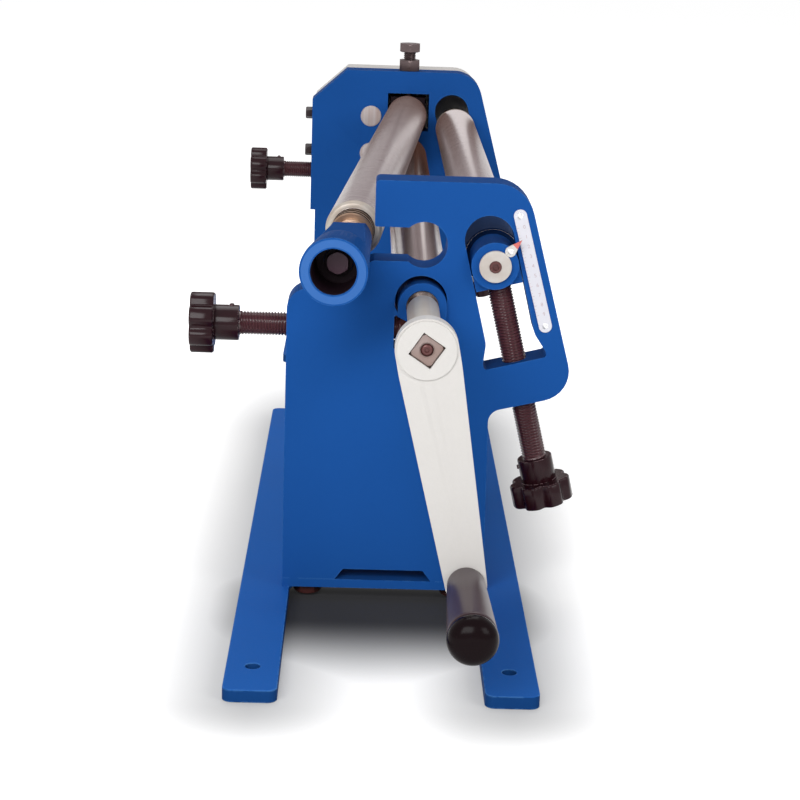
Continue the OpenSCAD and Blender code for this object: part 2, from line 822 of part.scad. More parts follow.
grip_back_y = front_y - crank_out - face_gap;
module grip_pin() {
    color(steel)
    cranked() union() {
        rod(0, -crank_r, grip_back_y - grip_len * pin_len_share,
            grip_len * pin_len_share + face_gap + arm_t + ring_h, pin_d);
        rod(0, -crank_r, grip_back_y - grip_len * pin_len_share, pin_head_t, pin_head_d);
    }
}
pin_len_share = 0.82;
pin_head_t = 3;
pin_head_d = 13;

// Grip, turned about its own axis; it swells towards a grooved, domed end
grip_back_share = 0.80;
groove_depth = 1.2;
dome_len = 12;
module crank_grip() {
    r = grip_d / 2;
    back_r = r * grip_back_share;
    body = grip_len - dome_len;
    dome = [for (a = [0 : 15 : 75]) [r * cos(a), body + dome_len * sin(a)]];
    color(black)
    cranked() translate([0, grip_back_y, -crank_r]) rotate([90, 0, 0]) difference() {
        rotate_extrude() polygon(concat([[0, 0], [back_r - groove_depth, 0],
            [back_r, groove_depth], [r - groove_depth / 2, body - 3 * groove_depth],
            [r - groove_depth, body - 2 * groove_depth], [r - groove_depth, body - groove_depth]],
            dome, [[0, grip_len]]));
        translate([0, 0, -cut]) cylinder(h = grip_len * pin_len_share + cut + face_gap,
            d = pin_d + 2 * run_gap);
        translate([0, 0, grip_len * pin_len_share - pin_head_t - face_gap])
            cylinder(h = pin_head_t + 2 * face_gap, d = pin_head_d + 2 * face_gap);
    }
}

// Rear bearing block: a stepped drum that slides in the slanted slot
module rear_block(y0, len) {
    color(blue)
    slanted() difference() {
        union() {
            rod(0, 0, y0, len, rear_block_d);
            translate([-rear_block_d / 2, y0 + rear_proud + slide_gap, -rear_block_d / 2])
                cube([rear_block_d, len - 2 * rear_proud, rear_block_d / 2]);
        }
        rod(0, 0, y0 - cut, len + 2 * cut, rear_journal_d + 2 * run_gap);
        translate([0, rear_mid(y0), -rear_block_d / 2 - cut])
            cylinder(h = dog_room + cut, d = dog_d + 4 * run_gap);
        for (side = [-1, 1])
            rod(side * dog_pin_x, dog_pin_in - rear_block_d / 2, y0 + rear_proud, len, dog_pin_d);
    }
}
dog_room = dog_len + face_gap;
function rear_mid(y0) = y0 < 0 ? near_mid_y : pivot_y;
rear_block_len = frame_t + rear_proud + roll_end_gap - block_back_gap;
near_rear_y = front_y - rear_proud;
far_rear_y = far_y - roll_end_gap + block_back_gap;

module rear_block_near() {
    difference() {
        rear_block(near_rear_y, rear_block_len);
        slanted() rotate([0, slant - pointer_angle, 0])
            rod(pointer_rivet_at, 0, near_rear_y - cut, pointer_rivet_deep + cut, pointer_rivet_d);
    }
}
module rear_block_far() { rear_block(far_rear_y, rear_block_len); }

// Pins along the rolls that hold the dog of each rear screw in its block
module rear_dog_pins() {
    color(steel)
    slanted() for (y0 = [near_rear_y, far_rear_y], side = [-1, 1])
        rod(side * dog_pin_x, dog_pin_in - rear_block_d / 2, y0 + rear_proud,
            rear_block_len - 2 * rear_proud, dog_pin_d);
}

rear_journal_out = rear_proud + face_gap;
module rear_roll() {
    color(steel)
    slanted() difference() {
        union() {
            rod(0, 0, body_start, lower_body_end - body_start, roll_d);
            rod(0, 0, front_y - rear_journal_out,
                back_y + 2 * rear_journal_out - front_y, rear_journal_d);
        }
        rod(0, 0, front_y - rear_journal_out - cut, end_screw_len + cut, m8_d);
        rod(0, 0, back_y + rear_journal_out - end_screw_len, end_screw_len + cut, m8_d);
    }
}
end_screw_len = 16;

module rear_washers() {
    color(white)
    slanted() for (y0 = [front_y - rear_journal_out - washer_t, back_y + rear_journal_out])
        difference() {
            rod(0, 0, y0, washer_t, rear_washer_d);
            rod(0, 0, y0 - cut, washer_t + 2 * cut, m8_d);
        }
}

module rear_end_screws() {
    color(black)
    slanted() {
        rod(0, 0, front_y - rear_journal_out - washer_t - cut, end_screw_len + washer_t, m8_d);
        rod(0, 0, back_y + rear_journal_out - end_screw_len + cut, end_screw_len + washer_t, m8_d);
    }
}

// Pointer plate on the front of the near rear block
module pointer() {
    color(white)
    slanted() rotate([0, slant - pointer_angle, 0]) difference() {
        slab(near_rear_y - pointer_t, pointer_t) polygon(rounded([
            [pointer_rivet_at - pointer_w / 2, -pointer_w / 2, pointer_w / 2.1],
            [pointer_rivet_at + pointer_w / 2, -pointer_w / 2, 0],
            [pointer_reach, 0, 0],
            [pointer_rivet_at + pointer_w / 2, pointer_w / 2, 0],
            [pointer_rivet_at - pointer_w / 2, pointer_w / 2, pointer_w / 2.1]]));
        rod(pointer_rivet_at, 0, near_rear_y - pointer_t - cut, pointer_t + 2 * cut,
            pointer_rivet_d);
    }
}

module pointer_rivet() {
    color(steel)
    slanted() rotate([0, slant - pointer_angle, 0]) {
        rod(pointer_rivet_at, 0, near_rear_y - pointer_t - rivet_h, rivet_h, rivet_d);
        rod(pointer_rivet_at, 0, near_rear_y - pointer_t - rivet_h,
            pointer_t + rivet_h + pointer_rivet_deep, pointer_rivet_d);
    }
}
pointer_rivet_deep = 4;

// Places children on the scale plate: origin at its upper rivet, -Z along the plate
module on_scale() {
    translate([scale_x, front_y, scale_z]) rotate([0, -flank_lean, 0]) children();
}

module scale_plate() {
    color(white)
    on_scale() difference() {
        slab(-scale_t, scale_t) polygon(rounded([
            [-scale_w / 2, scale_w / 2, scale_w / 2.05],
            [-scale_w / 2, -scale_rivet_gap - scale_w / 2, scale_w / 2.05],
            [scale_w / 2, -scale_rivet_gap - scale_w / 2, scale_w / 2.05],
            [scale_w / 2, scale_w / 2, scale_w / 2.05]]));
        for (at = [0, scale_rivet_gap])
            rod(0, -at, -scale_t - cut, scale_t + 2 * cut, rivet_shank_d);
    }
}

module scale_rivets() {
    color(steel)
    on_scale() for (at = [0, scale_rivet_gap]) {
        rod(0, -at, -scale_t - rivet_h, rivet_h, rivet_d);
        rod(0, -at, -scale_t - rivet_h, scale_t + rivet_h + rivet_deep, rivet_shank_d);
    }
}

// Screw along -Z from z = 0; its dog stands above, its spigot enters the knob
module adjusting_screw(len) {
    difference() {
        cylinder(h = dog_len, d = dog_d);
        translate([0, 0, dog_pin_in - dog_groove_w / 2]) difference() {
            cylinder(h = dog_groove_w, d = dog_d + cut);
            translate([0, 0, -cut]) cylinder(h = dog_groove_w + 2 * cut, d = dog_groove_d);
        }
    }
    translate([0, 0, -len]) cylinder(h = len, d = screw_d);
    translate([0, 0, -len - knob_hub_len]) cylinder(h = knob_hub_len + cut, d = dog_d);
}

lobe_depth = 3;
star_points = [for (i = [0 : 12 * knob_lobes - 1]) let (a = 360 * i / (12 * knob_lobes),
    r = knob_d / 2 - lobe_depth * pow((1 - cos(a * knob_lobes)) / 2, 2))
    [r * cos(a), r * sin(a)]];

// Star knob with its hub, hub face on z = 0, disc below
module star_knob() {
    difference() {
        union() {
            translate([0, 0, -knob_hub_len]) cylinder(h = knob_hub_len, d = knob_hub_d);
            translate([0, 0, -knob_hub_len - knob_t]) linear_extrude(knob_t) polygon(star_points);
        }
        translate([0, 0, -knob_hub_len]) cylinder(h = knob_hub_len + cut, d = dog_d);
    }
}

rear_screw_len = rear_hub_top - rear_block_d / 2 - slide_gap;
module at_rear_screw(mid) {
    slanted() translate([0, mid, -rear_block_d / 2 - slide_gap]) children();
}
module rear_screw_near() { color(brown_screw) at_rear_screw(near_mid_y) adjusting_screw(rear_screw_len); }
module rear_screw_far() { color(brown_screw) at_rear_screw(pivot_y) adjusting_screw(rear_screw_len); }
module rear_knob_near() {
    color(black) at_rear_screw(near_mid_y) translate([0, 0, -rear_screw_len]) star_knob();
}
module rear_knob_far() {
    color(black) at_rear_screw(pivot_y) translate([0, 0, -rear_screw_len]) star_knob();
}

lift_screw_len = wedge_x + frame_left + lift_screw_out - slide_gap;
module at_lift_screw(mid) {
    translate([wedge_x - slide_gap, mid, lift_screw_z]) rotate([0, 90, 0]) children();
}
module lift_screw_near() { color(brown_screw) at_lift_screw(near_mid_y) adjusting_screw(lift_screw_len); }
module lift_screw_far() { color(brown_screw) at_lift_screw(pivot_y) adjusting_screw(lift_screw_len); }
module lift_knob_near() {
    color(black) at_lift_screw(near_mid_y) translate([0, 0, -lift_screw_len]) star_knob();
}
module lift_knob_far() {
    color(black) at_lift_screw(pivot_y) translate([0, 0, -lift_screw_len]) star_knob();
}

// Wedge under a lower bearing block; two upright pins hold the dog of its screw
wedge_floor = lower_slot_floor_z + slide_gap;
module wedge(mid) {
    color(steel)
    difference() {
        slab(mid - wedge_t / 2, wedge_t) polygon([
            [wedge_x, wedge_floor], [wedge_x + wedge_w, wedge_floor],
            [wedge_x + wedge_w, wedge_top_z - wedge_slope * wedge_w], [wedge_x, wedge_top_z]]);
        translate([wedge_x - cut, mid, lift_screw_z]) rotate([0, 90, 0])
            cylinder(h = dog_room + cut, d = dog_d + 4 * run_gap);
        for (side = [-1, 1])
            translate([wedge_x + dog_pin_in, mid + side * dog_pin_x, wedge_floor - cut])
                cylinder(h = wedge_pin_len + cut, d = dog_pin_d);
    }
}
wedge_pin_len = 14;
module wedge_pins(mid) {
    color(steel)
    for (side = [-1, 1])
        translate([wedge_x + dog_pin_in, mid + side * dog_pin_x, wedge_floor])
            cylinder(h = wedge_pin_len, d = dog_pin_d);
}
module wedge_near() { wedge(near_mid_y); }
module wedge_far() { wedge(pivot_y); }
module wedge_pins_near() { wedge_pins(near_mid_y); }
module wedge_pins_far() { wedge_pins(pivot_y); }

// Gear train behind the gear-side frame
high_len = gear_b_y + gear_w - gear_a_y;
module idler_low_gear() {
    color(steel) translate([idler_x, 0, idler_low_z])
        gear(gear_a_y, gear_w, stud_journal_d + 2 * run_gap, low_share, false);
}
module idler_high_gear() {
    color(steel) translate([idler_x, 0, idler_high_z])
        gear(gear_a_y, high_len, stud_journal_d + 2 * run_gap, high_share, false);
}

module idler_stud(z, gear_len) {
    rod(idler_x, z, far_y - stud_proud, gear_a_y - face_gap - far_y + stud_proud, stud_d);
    rod(idler_x, z, gear_a_y - cut, gear_len + cut + face_gap + 2 * clip_t, stud_journal_d);
}
module idler_studs() {
    color(steel) {
        idler_stud(idler_low_z, gear_w);
        idler_stud(idler_high_z, high_len);
    }
}
module idler_clips() {
    color(steel)
    for (c = [[idler_low_z, gear_w], [idler_high_z, high_len]]) difference() {
        rod(idler_x, c.x, gear_a_y + c.y + face_gap, clip_t, clip_d);
        rod(idler_x, c.x, gear_a_y + c.y - cut, clip_t + 3 * cut, stud_journal_d);
    }
}
module stud_set_screws() {
    edge_x = -frame_left - head_step;
    color(black)
    for (z = [idler_low_z, idler_high_z])
        translate([edge_x, pivot_y, z]) rotate([0, -90, 0])
            hex_bolt(m6_af, m6_head_h, m6_d, idler_x - stud_d / 2 - edge_x);
}

// Cover outline, d inside the gear-side frame's own outline
function cover_points(d) = rounded([
    [-frame_left - head_step + d, cover_floor_z + d, 2],
    [-frame_left - head_step + d, chamfer_z - 0.45 * d, 2],
    [chamfer_x + 0.38 * d, top_z - d, 2],
    [flank_top_x - 0.76 * d, top_z - d, flank_r - d],
    [ear_x - 1.04 * d - cover_ear_in, cover_floor_z + d, ear_r]]);
cover_ear_in = 2.5;
module gear_cover() {
    color(cream)
    difference() {
        slab(back_y, cover_depth) polygon(cover_points(cover_inset));
        slab(back_y - cut, cover_depth - cover_wall + cut)
            polygon(cover_points(cover_inset + cover_wall));
        for (p = pillar_places)
            rod(p.x, p.y, back_y, cover_depth + cut, m5_d + bolt_gap);
    }
}
module cover_pillars() {
    color(steel)
    for (p = pillar_places) difference() {
        union() {
            rod(p.x, p.y, back_y, cover_depth - cover_wall, pillar_d);
            rod(p.x, p.y, back_y - pillar_spigot, pillar_spigot + cut, m6_d);
        }
        rod(p.x, p.y, back_y + cover_depth - cover_wall - m5_len, m5_len + cut, m5_d);
    }
}
m5_len = 12;
module cover_screws() {
    color(black)
    for (p = pillar_places) {
        rod(p.x, p.y, back_y + cover_depth - cover_wall - m5_len, m5_len + cover_wall + cut, m5_d);
        rod(p.x, p.y, back_y + cover_depth, m5_head_h, m5_head_d);
    }
}

rail(-1);  // left_rail
rail(1);  // right_rail
crossbar(near_bar_y);  // front_crossbar
crossbar(far_bar_y);  // rear_crossbar
weld_beads();
near_frame();
far_frame();
foot_bolts();
swivel_bolt();
swivel_locknut();
swivel_pin();
idler_studs();
stud_set_screws();
idler_clips();
scale_plate();
scale_rivets();
gear_cover();
cover_pillars();
cover_screws();
swivel_block();
upper_roll();
upper_gear();
upper_gear_key();
upper_gear_nut();
sleeve_washer();
sleeve_bolt();
release_sleeve();
lower_block_near();
lower_block_far();
lower_roll();
lower_gear();
lower_gear_key();
lower_gear_nut();
crank_arm();
crank_screw();
grip_pin();
crank_grip();
rear_block_near();
rear_block_far();
rear_dog_pins();
pointer();
pointer_rivet();
rear_roll();
rear_washers();
rear_end_screws();
rear_screw_near();
rear_knob_near();
rear_screw_far();
rear_knob_far();
wedge_near();
wedge_pins_near();
wedge_far();
wedge_pins_far();
lift_screw_near();
lift_knob_near();
lift_screw_far();
lift_knob_far();
idler_low_gear();
idler_high_gear();
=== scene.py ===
import json
import math

import bmesh
import bpy
from mathutils import Matrix, Vector


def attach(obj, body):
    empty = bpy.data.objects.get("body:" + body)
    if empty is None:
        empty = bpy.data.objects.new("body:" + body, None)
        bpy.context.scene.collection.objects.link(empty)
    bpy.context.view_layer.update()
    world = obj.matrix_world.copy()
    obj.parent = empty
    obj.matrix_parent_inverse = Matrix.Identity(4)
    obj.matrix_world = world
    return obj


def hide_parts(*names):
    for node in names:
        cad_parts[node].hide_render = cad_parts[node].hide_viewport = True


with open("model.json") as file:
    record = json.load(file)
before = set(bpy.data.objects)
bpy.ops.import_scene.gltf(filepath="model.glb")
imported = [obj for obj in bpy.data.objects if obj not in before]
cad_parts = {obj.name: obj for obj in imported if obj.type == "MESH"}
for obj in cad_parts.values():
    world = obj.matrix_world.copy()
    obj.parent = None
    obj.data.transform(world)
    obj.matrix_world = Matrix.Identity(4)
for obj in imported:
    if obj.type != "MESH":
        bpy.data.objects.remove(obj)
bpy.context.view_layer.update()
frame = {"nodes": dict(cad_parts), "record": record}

# Sizes of the machine in millimetres, as in its solids; Y runs from the crank to the gears
MM = 0.001
FRONT_Y = -312.0
NEAR_MID_Y = -299.5
PIVOT_Y = 370.5
BACK_Y = 383.0
BASE_Z = 14.0
TOP_Z = 287.0
ROLL_R = 19.0
ROLL_FRONT_Y = FRONT_Y + 27
ROLL_BACK_Y = 356.0
ROLL_X, UPPER_Z, LOWER_Z = 21.5, 245.5, 205.2
REAR_X, REAR_Z = 67.6, 234.0
SWING = math.radians(4.2)
SLANT = math.radians(14)
STUB_Y = FRONT_Y - 62.3
SLEEVE_R = 21.0
CRANK_TURN = math.radians(11.2)
CRANK_R = 150.0
CRANK_Y = FRONT_Y - 122.0
SCREW_R, SCREW_PITCH = 8.0, 2.0
REAR_SCREW_TOP, REAR_SCREW_LEN = -15.52, 121.48
LIFT_X, LIFT_Z = 7.6, 187.5
LIFT_SCREW_TOP, LIFT_SCREW_LEN = -0.02, 106.08
KNOB_R, KNOB_T = 20.5, 15.5
HUB_R, HUB_LEN = 11.75, 16.5
LOBES = 7
STUD_X = -14.44
FRAME_EDGE_X = -71.5
SCALE_X, SCALE_Z = 82.7, 266.4
SCALE_LEAN = math.radians(15.3)
SCALE_GAP = 75.0
POINTER_TURN = math.radians(47)
POINTER_RIVET = 13.7

# Directions, and the number of flats that a round form gets
ALONG, TO_CRANK, ACROSS = (0, 1, 0), (0, -1, 0), (1, 0, 0)
BIG_ROUND, MID_ROUND, SMALL_ROUND, TINY_ROUND = 96, 72, 48, 32


# Placing and making pieces

def axes(origin, along, side, unit=1.0):
    """Matrix whose local Z runs along one direction and local X along another."""
    z = Vector(along).normalized()
    x = Vector(side)
    x = (x - z * x.dot(z)).normalized()
    y = z.cross(x)
    m = Matrix((x, y, z)).transposed().to_4x4()
    m.translation = Vector(origin) * unit
    return m


def placed(origin, along, side):
    """Place of a whole piece: such a matrix in metres, from an origin in millimetres."""
    return axes(origin, along, side, MM)


AS_DRAWN = Matrix.Identity(4)
SWUNG = placed((ROLL_X, PIVOT_Y, UPPER_Z), (math.sin(SWING), math.cos(SWING), 0),
               (math.cos(SWING), -math.sin(SWING), 0))
UP_SLANT = (-math.sin(SLANT), 0, math.cos(SLANT))


def linked(name, data):
    """Object with its data, put into the scene."""
    thing = bpy.data.objects.new(name, data)
    bpy.context.scene.collection.objects.link(thing)
    return thing


def mesh_of(name, bm):
    """Mesh with what was drawn in the bmesh, which is freed."""
    mesh = bpy.data.meshes.new(name)
    bm.to_mesh(mesh)
    bm.free()
    return mesh


def made(name, bm, at, finish, body, replaced=()):
    """Turns a bmesh drawn in millimetres into a piece that rides on a body."""
    bmesh.ops.remove_doubles(bm, verts=bm.verts, dist=0.001)
    bmesh.ops.scale(bm, vec=(MM, MM, MM), verts=bm.verts)
    bmesh.ops.recalc_face_normals(bm, faces=bm.faces)
    mesh = mesh_of(name, bm)
    mesh.shade_smooth()
    mesh.set_sharp_from_angle(angle=math.radians(32))
    piece = linked(name, mesh)
    piece.matrix_world = at
    piece.data.materials.append(finish)
    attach(piece, body)
    if replaced:
        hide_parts(*replaced)


def ring(bm, steps, z, radius):
    """Points round local Z; the radius is a number or changes with the angle, and zero gives one point."""
    if radius == 0:
        return [bm.verts.new((0, 0, z))]
    points = []
    for i in range(steps):
        a = 2 * math.pi * i / steps
        r = radius(a) if callable(radius) else radius
        points.append(bm.verts.new((r * math.cos(a), r * math.sin(a), z)))
    return points


def skinned(bm, rings):
    """Joins each ring of points to the next; a ring of one point closes an end."""
    for a, b in zip(rings, rings[1:]):
        steps = max(len(a), len(b))
        if steps == 1:
            continue
        for i in range(steps):
            j = (i + 1) % steps
            if len(a) == 1:
                bm.faces.new((a[0], b[i], b[j]))
            elif len(b) == 1:
                bm.faces.new((a[i], a[j], b[0]))
            else:
                bm.faces.new((a[i], a[j], b[j], b[i]))
    return bm


def turned(profile, steps=MID_ROUND, bm=None):
    """Revolves (z, r) points about local Z; a radius of zero closes the end."""
    bm = bm or bmesh.new()
    return skinned(bm, [ring(bm, steps, z, r) for z, r in profile])


def flat_sided(half, sides, corner):
    """Radius by angle of a bar with flats, its corners cut round."""
    part = math.pi / sides
    return lambda a: min(half / math.cos((a + part) % (2 * part) - part), corner)


def eased(profile, radius=0.6, steps=3):
    """Rounds every corner of a (z, r) profile except its ends and those on the axis."""
    out = [profile[0]]
    for a, b, c in zip(profile, profile[1:], profile[2:]):
        va, vc = Vector(a) - Vector(b), Vector(c) - Vector(b)
        cut = min(radius, va.length * 0.45, vc.length * 0.45)
        if b[1] <= 0 or cut < 0.02:
            out.append(b)
            continue
        p, q = Vector(b) + va.normalized() * cut, Vector(b) + vc.normalized() * cut
        for i in range(steps + 1):
            t = i / steps
            pt = p * (1 - t) ** 2 + Vector(b) * 2 * t * (1 - t) + q * t * t
            out.append((pt.x, pt.y))
    out.append(profile[-1])
    return out


def ring_groove(z, surface_r, width, steps=8):
    """Profile points of a round-bottomed groove centred on z, a little less than half a circle deep."""
    r, above = width / 2, width / 8
    half = math.acos(above / r)
    angles = [-half + 2 * half * i / steps for i in range(steps + 1)]
    return [(z + r * math.sin(a), surface_r + above - r * math.cos(a)) for a in angles]


def joined(target, part, at):
    """Adds one drawn part to another at a place given in millimetres."""
    bmesh.ops.transform(part, matrix=at, verts=part.verts)
    mesh = mesh_of("joined", part)
    target.from_mesh(mesh)
    bpy.data.meshes.remove(mesh)


def hex_head(across_flats, height, z0=0.0, crown=1):
    """Hexagon with a chamfered crown, standing on z0 towards +Z or -Z."""
    bm = bmesh.new()
    half = across_flats / 2
    corner = half / math.cos(math.radians(30))
    rings = [ring(bm, SMALL_ROUND, z0, 0)]
    for level, cap in ((0.0, 0.96), (0.08, 1.0), (0.78, 1.0), (0.90, 0.965), (1.0, 0.90)):
        rings.append(ring(bm, SMALL_ROUND, z0 + crown * height * level, flat_sided(half, 6, corner * cap)))
    return skinned(bm, rings + [ring(bm, SMALL_ROUND, z0 + crown * height, 0)])


def threaded(z0, z1, radius, pitch, bm=None, steps=SMALL_ROUND):
    """Screw thread as one closed surface; its ridges run out towards both ends."""
    bm = bm or bmesh.new()
    depth, rows_per_turn = pitch * 0.54, 6
    rows = int(round((z1 - z0) / pitch * rows_per_turn))
    rings = [ring(bm, steps, z0, 0)]
    for k in range(rows + 1):
        z = z0 + (z1 - z0) * k / rows
        fade = max(0.25, min(1.0, (z1 - z) / pitch, (z - z0) / pitch))

        def ridge(a):
            tooth = abs(2 * (((z - z0) / pitch - a / (2 * math.pi)) % 1.0) - 1)
            return radius - depth * min(1.0, max(0.0, (tooth - 0.12) / 0.76)) * fade

        rings.append(ring(bm, steps, z, ridge))
    return skinned(bm, rings + [ring(bm, steps, z1, 0)])


# Nodes of the finishes

WHITE = (1, 1, 1, 1)
GREY = (0.5, 0.5, 0.5, 1)
SURFACE = {"Colour": "Color", "Roughness": "Float", "Normal": "Vector"}


def node(tree, kind, x, y, **settings):
    n = tree.nodes.new(kind)
    n.location = (x, y)
    for key, value in settings.items():
        setattr(n, key, value)
    return n


def fed(tree, n, **values):
    """Gives sockets their plain values or links, i0 being the first; gives back the first output."""
    for key, value in values.items():
        socket = n.inputs[int(key[1:]) if key[1:].isdigit() else key.replace("_", " ")]
        if isinstance(value, (int, float, tuple)):
            socket.default_value = value
        else:
            tree.links.new(value, socket)
    return n.outputs[0] if n.outputs else None


def cleared_tree(owner):
    """Empty node tree of a material or of the world."""
    owner.use_nodes = True
    owner.node_tree.nodes.clear()
    return owner.node_tree


def new_group(name, inputs, outputs):
    """Node group with named inputs and outputs: its tree, what comes in, and its output node."""
    group = bpy.data.node_groups.new(name, "ShaderNodeTree")
    for label, value in inputs.items():
        kind = "NodeSocketColor" if isinstance(value, tuple) else "NodeSocketFloat"
        group.interface.new_socket(name=label, in_out="INPUT", socket_type=kind).default_value = value
    for label, kind in outputs.items():
        group.interface.new_socket(name=label, in_out="OUTPUT", socket_type="NodeSocket" + kind)
    return group, node(group, "NodeGroupInput", -900, 0).outputs, node(group, "NodeGroupOutput", 700, 0)


def maths(tree, operation, x, y, a, b=0.5, clamp=False):
    return fed(tree, node(tree, "ShaderNodeMath", x, y, operation=operation, use_clamp=clamp), i0=a, i1=b)


def vectors(tree, operation, x, y, **values):
    return fed(tree, node(tree, "ShaderNodeVectorMath", x, y, operation=operation), **values)


def centred(tree, x, y, value, size, middle=0.5, clamp=False):
    """How far a value is from its middle, times a size."""
    return maths(tree, "MULTIPLY", x + 120, y, maths(tree, "SUBTRACT", x, y, value, middle), size, clamp)


def noise(tree, x, y, vector, scale, detail=2.0, rough=0.5):
    return fed(tree, node(tree, "ShaderNodeTexNoise", x, y), Detail=detail, Roughness=rough,
               Vector=vector, Scale=scale)


def stretched(tree, x, y, vector, scale):
    return fed(tree, node(tree, "ShaderNodeMapping", x, y), Scale=scale, Vector=vector)


def ramped(tree, x, y, value, start=0.0, end=1.0, low=0.0, high=1.0, curve="LINEAR"):
    """Value that goes from low to high while the input goes from start to end."""
    return fed(tree, node(tree, "ShaderNodeMapRange", x, y, interpolation_type=curve),
               From_Min=start, From_Max=end, To_Min=low, To_Max=high, Value=value)


def bump(tree, x, y, height, strength, distance):
    return fed(tree, node(tree, "ShaderNodeBump", x, y), Distance=distance, Height=height, Strength=strength)


def mixed(tree, x, y, factor, a, b):
    n = node(tree, "ShaderNodeMix", x, y, data_type="RGBA")
    fed(tree, n, Factor=factor, i6=a, i7=b)
    return n.outputs[2]


def drawn_on(tree):
    """Coordinates of the piece itself, so that a finish rides with it."""
    return node(tree, "ShaderNodeTexCoord", -900, -300).outputs["Object"]


def paint_film_group():
    """Sprayed enamel: slow mottling, dust and orange peel; faces that look up are scaled by the painted top light,
    which paints shade on them below 1 and light above 1.
    """
    g, given, result = new_group("Paint film", {
        "Colour": GREY, "Roughness": 0.35, "Mottle": 0.08, "Peel": 0.12, "Painted top light": 1.0}, SURFACE)
    co = drawn_on(g)
    slow = noise(g, -650, 100, co, 14.0, 4.0)
    dust = noise(g, -650, -150, co, 260.0, 3.0, 0.7)
    peel = noise(g, -650, -400, co, 620.0, 1.0)
    tone = maths(g, "ADD", -300, 100, centred(g, -520, 100, slow, given["Mottle"]), 1.0)
    tone = maths(g, "ADD", -160, 60, tone, centred(g, -520, -100, dust, 0.05))
    facing = node(g, "ShaderNodeSeparateXYZ", -520, 350)
    fed(g, facing, i0=node(g, "ShaderNodeNewGeometry", -700, 350).outputs["Normal"])
    # Painted light and shade on faces that look up
    top = ramped(g, -340, 350, facing.outputs["Z"], 0.15, 0.90, 1.0, given["Painted top light"])
    fed(g, result,
        Colour=vectors(g, "SCALE", 0, 100, i0=given["Colour"], Scale=maths(g, "MULTIPLY", -60, 200, tone, top)),
        Roughness=maths(g, "ADD", 0, -150, given["Roughness"], centred(g, -300, -200, slow, 0.16)),
        Normal=bump(g, 200, -400, peel, given["Peel"], 0.0004))
    return g


def edge_wear_group():
    """Mask of rubbed edges, broken up by noise; on some finishes their colour paints an edge highlight."""
    g, given, result = new_group("Edge wear", {"Width": 0.0012, "Amount": 0.5}, {"Mask": "Float"})
    worn = fed(g, node(g, "ShaderNodeBevel", -700, 100, samples=4), Radius=given["Width"])
    plain = node(g, "ShaderNodeNewGeometry", -700, -50).outputs["Normal"]
    dot = node(g, "ShaderNodeVectorMath", -500, 50, operation="DOT_PRODUCT")
    fed(g, dot, i0=worn, i1=plain)
    edge = maths(g, "SUBTRACT", -320, 50, 1.0, dot.outputs["Value"])
    grit = noise(g, -500, -250, drawn_on(g), 190.0, 4.0, 0.65)
    mask = maths(g, "MULTIPLY", -100, 50, edge, centred(g, -320, -200, grit, 60.0, 0.47, True))
    mask = maths(g, "MULTIPLY", 80, 50, mask, 8.0, True)
    fed(g, result, Mask=maths(g, "MULTIPLY", 250, 50, mask, given["Amount"], True))
    return g


def lathe_lines_group():
    """Fine turning lines round local Z, an oily film in lengthwise streaks, and scratches."""
    g, given, result = new_group("Lathe lines", {
        "Colour": GREY, "Roughness": 0.3, "Lines": 0.2, "Film": 0.3, "Streaks": 75.0,
        "Stain": (0.74, 0.60, 0.52, 1)}, SURFACE)
    co = drawn_on(g)
    fine = noise(g, -520, -200, stretched(g, -700, -200, co, (6, 6, 2600)), 1.0, 3.0, 0.6)
    bands = noise(g, -520, 0, stretched(g, -700, 0, co, (3, 3, 60)), 1.0, 4.0, 0.6)
    streaks = fed(g, node(g, "ShaderNodeCombineXYZ", -880, 250), X=given["Streaks"], Y=given["Streaks"], Z=1.6)
    film = noise(g, -520, 200, vectors(g, "MULTIPLY", -700, 250, i0=co, i1=streaks), 1.0, 3.0, 0.5)
    scratch = noise(g, -520, -400, stretched(g, -700, -400, co, (420, 420, 9)), 1.0, 2.0, 0.7)
    tone = vectors(g, "SCALE", -70, 0, i0=given["Colour"], Scale=ramped(g, -250, 0, bands, low=0.90, high=1.10))
    brown = vectors(g, "MULTIPLY", 0, 220, i0=tone, i1=given["Stain"])
    patch = maths(g, "MULTIPLY", -60, 320, centred(g, -330, 320, film, 5.0, 0.40, True), given["Film"])
    rougher = maths(g, "ADD", 80, -160, centred(g, -200, -120, film, 0.10), centred(g, -200, -220, fine, 0.22))
    height = maths(g, "ADD", 0, -380, fine, maths(g, "MULTIPLY", -150, -420, scratch, 0.35))
    fed(g, result, Colour=mixed(g, 220, 120, patch, tone, brown),
        Roughness=maths(g, "ADD", 220, -120, given["Roughness"], rougher),
        Normal=bump(g, 250, -350, height, given["Lines"], 0.00012))
    return g


def grain_group():
    """Moulded or oxidised surface: fine grain, faint tone change."""
    g, given, result = new_group("Surface grain", {
        "Colour": (0.1, 0.1, 0.1, 1), "Roughness": 0.5, "Size": 900.0, "Depth": 0.15, "Change": 0.2}, SURFACE)
    co = drawn_on(g)
    slow = noise(g, -600, 120, co, 60.0, 4.0, 0.6)
    fine = noise(g, -600, -160, co, given["Size"], 2.0, 0.6)
    swing = centred(g, -420, 120, slow, given["Change"])
    fed(g, result,
        Colour=vectors(g, "SCALE", 0, 120, i0=given["Colour"], Scale=maths(g, "ADD", -160, 120, swing, 1.0)),
        Roughness=maths(g, "ADD", 0, -60, given["Roughness"], maths(g, "MULTIPLY", -160, -60, swing, 0.5)),
        Normal=bump(g, 250, -250, fine, given["Depth"], 0.0003))
    return g


PAINT_FILM = paint_film_group()
EDGE_WEAR_AND_HIGHLIGHT = edge_wear_group()
LATHE_LINES = lathe_lines_group()
SURFACE_GRAIN = grain_group()


# Finishes

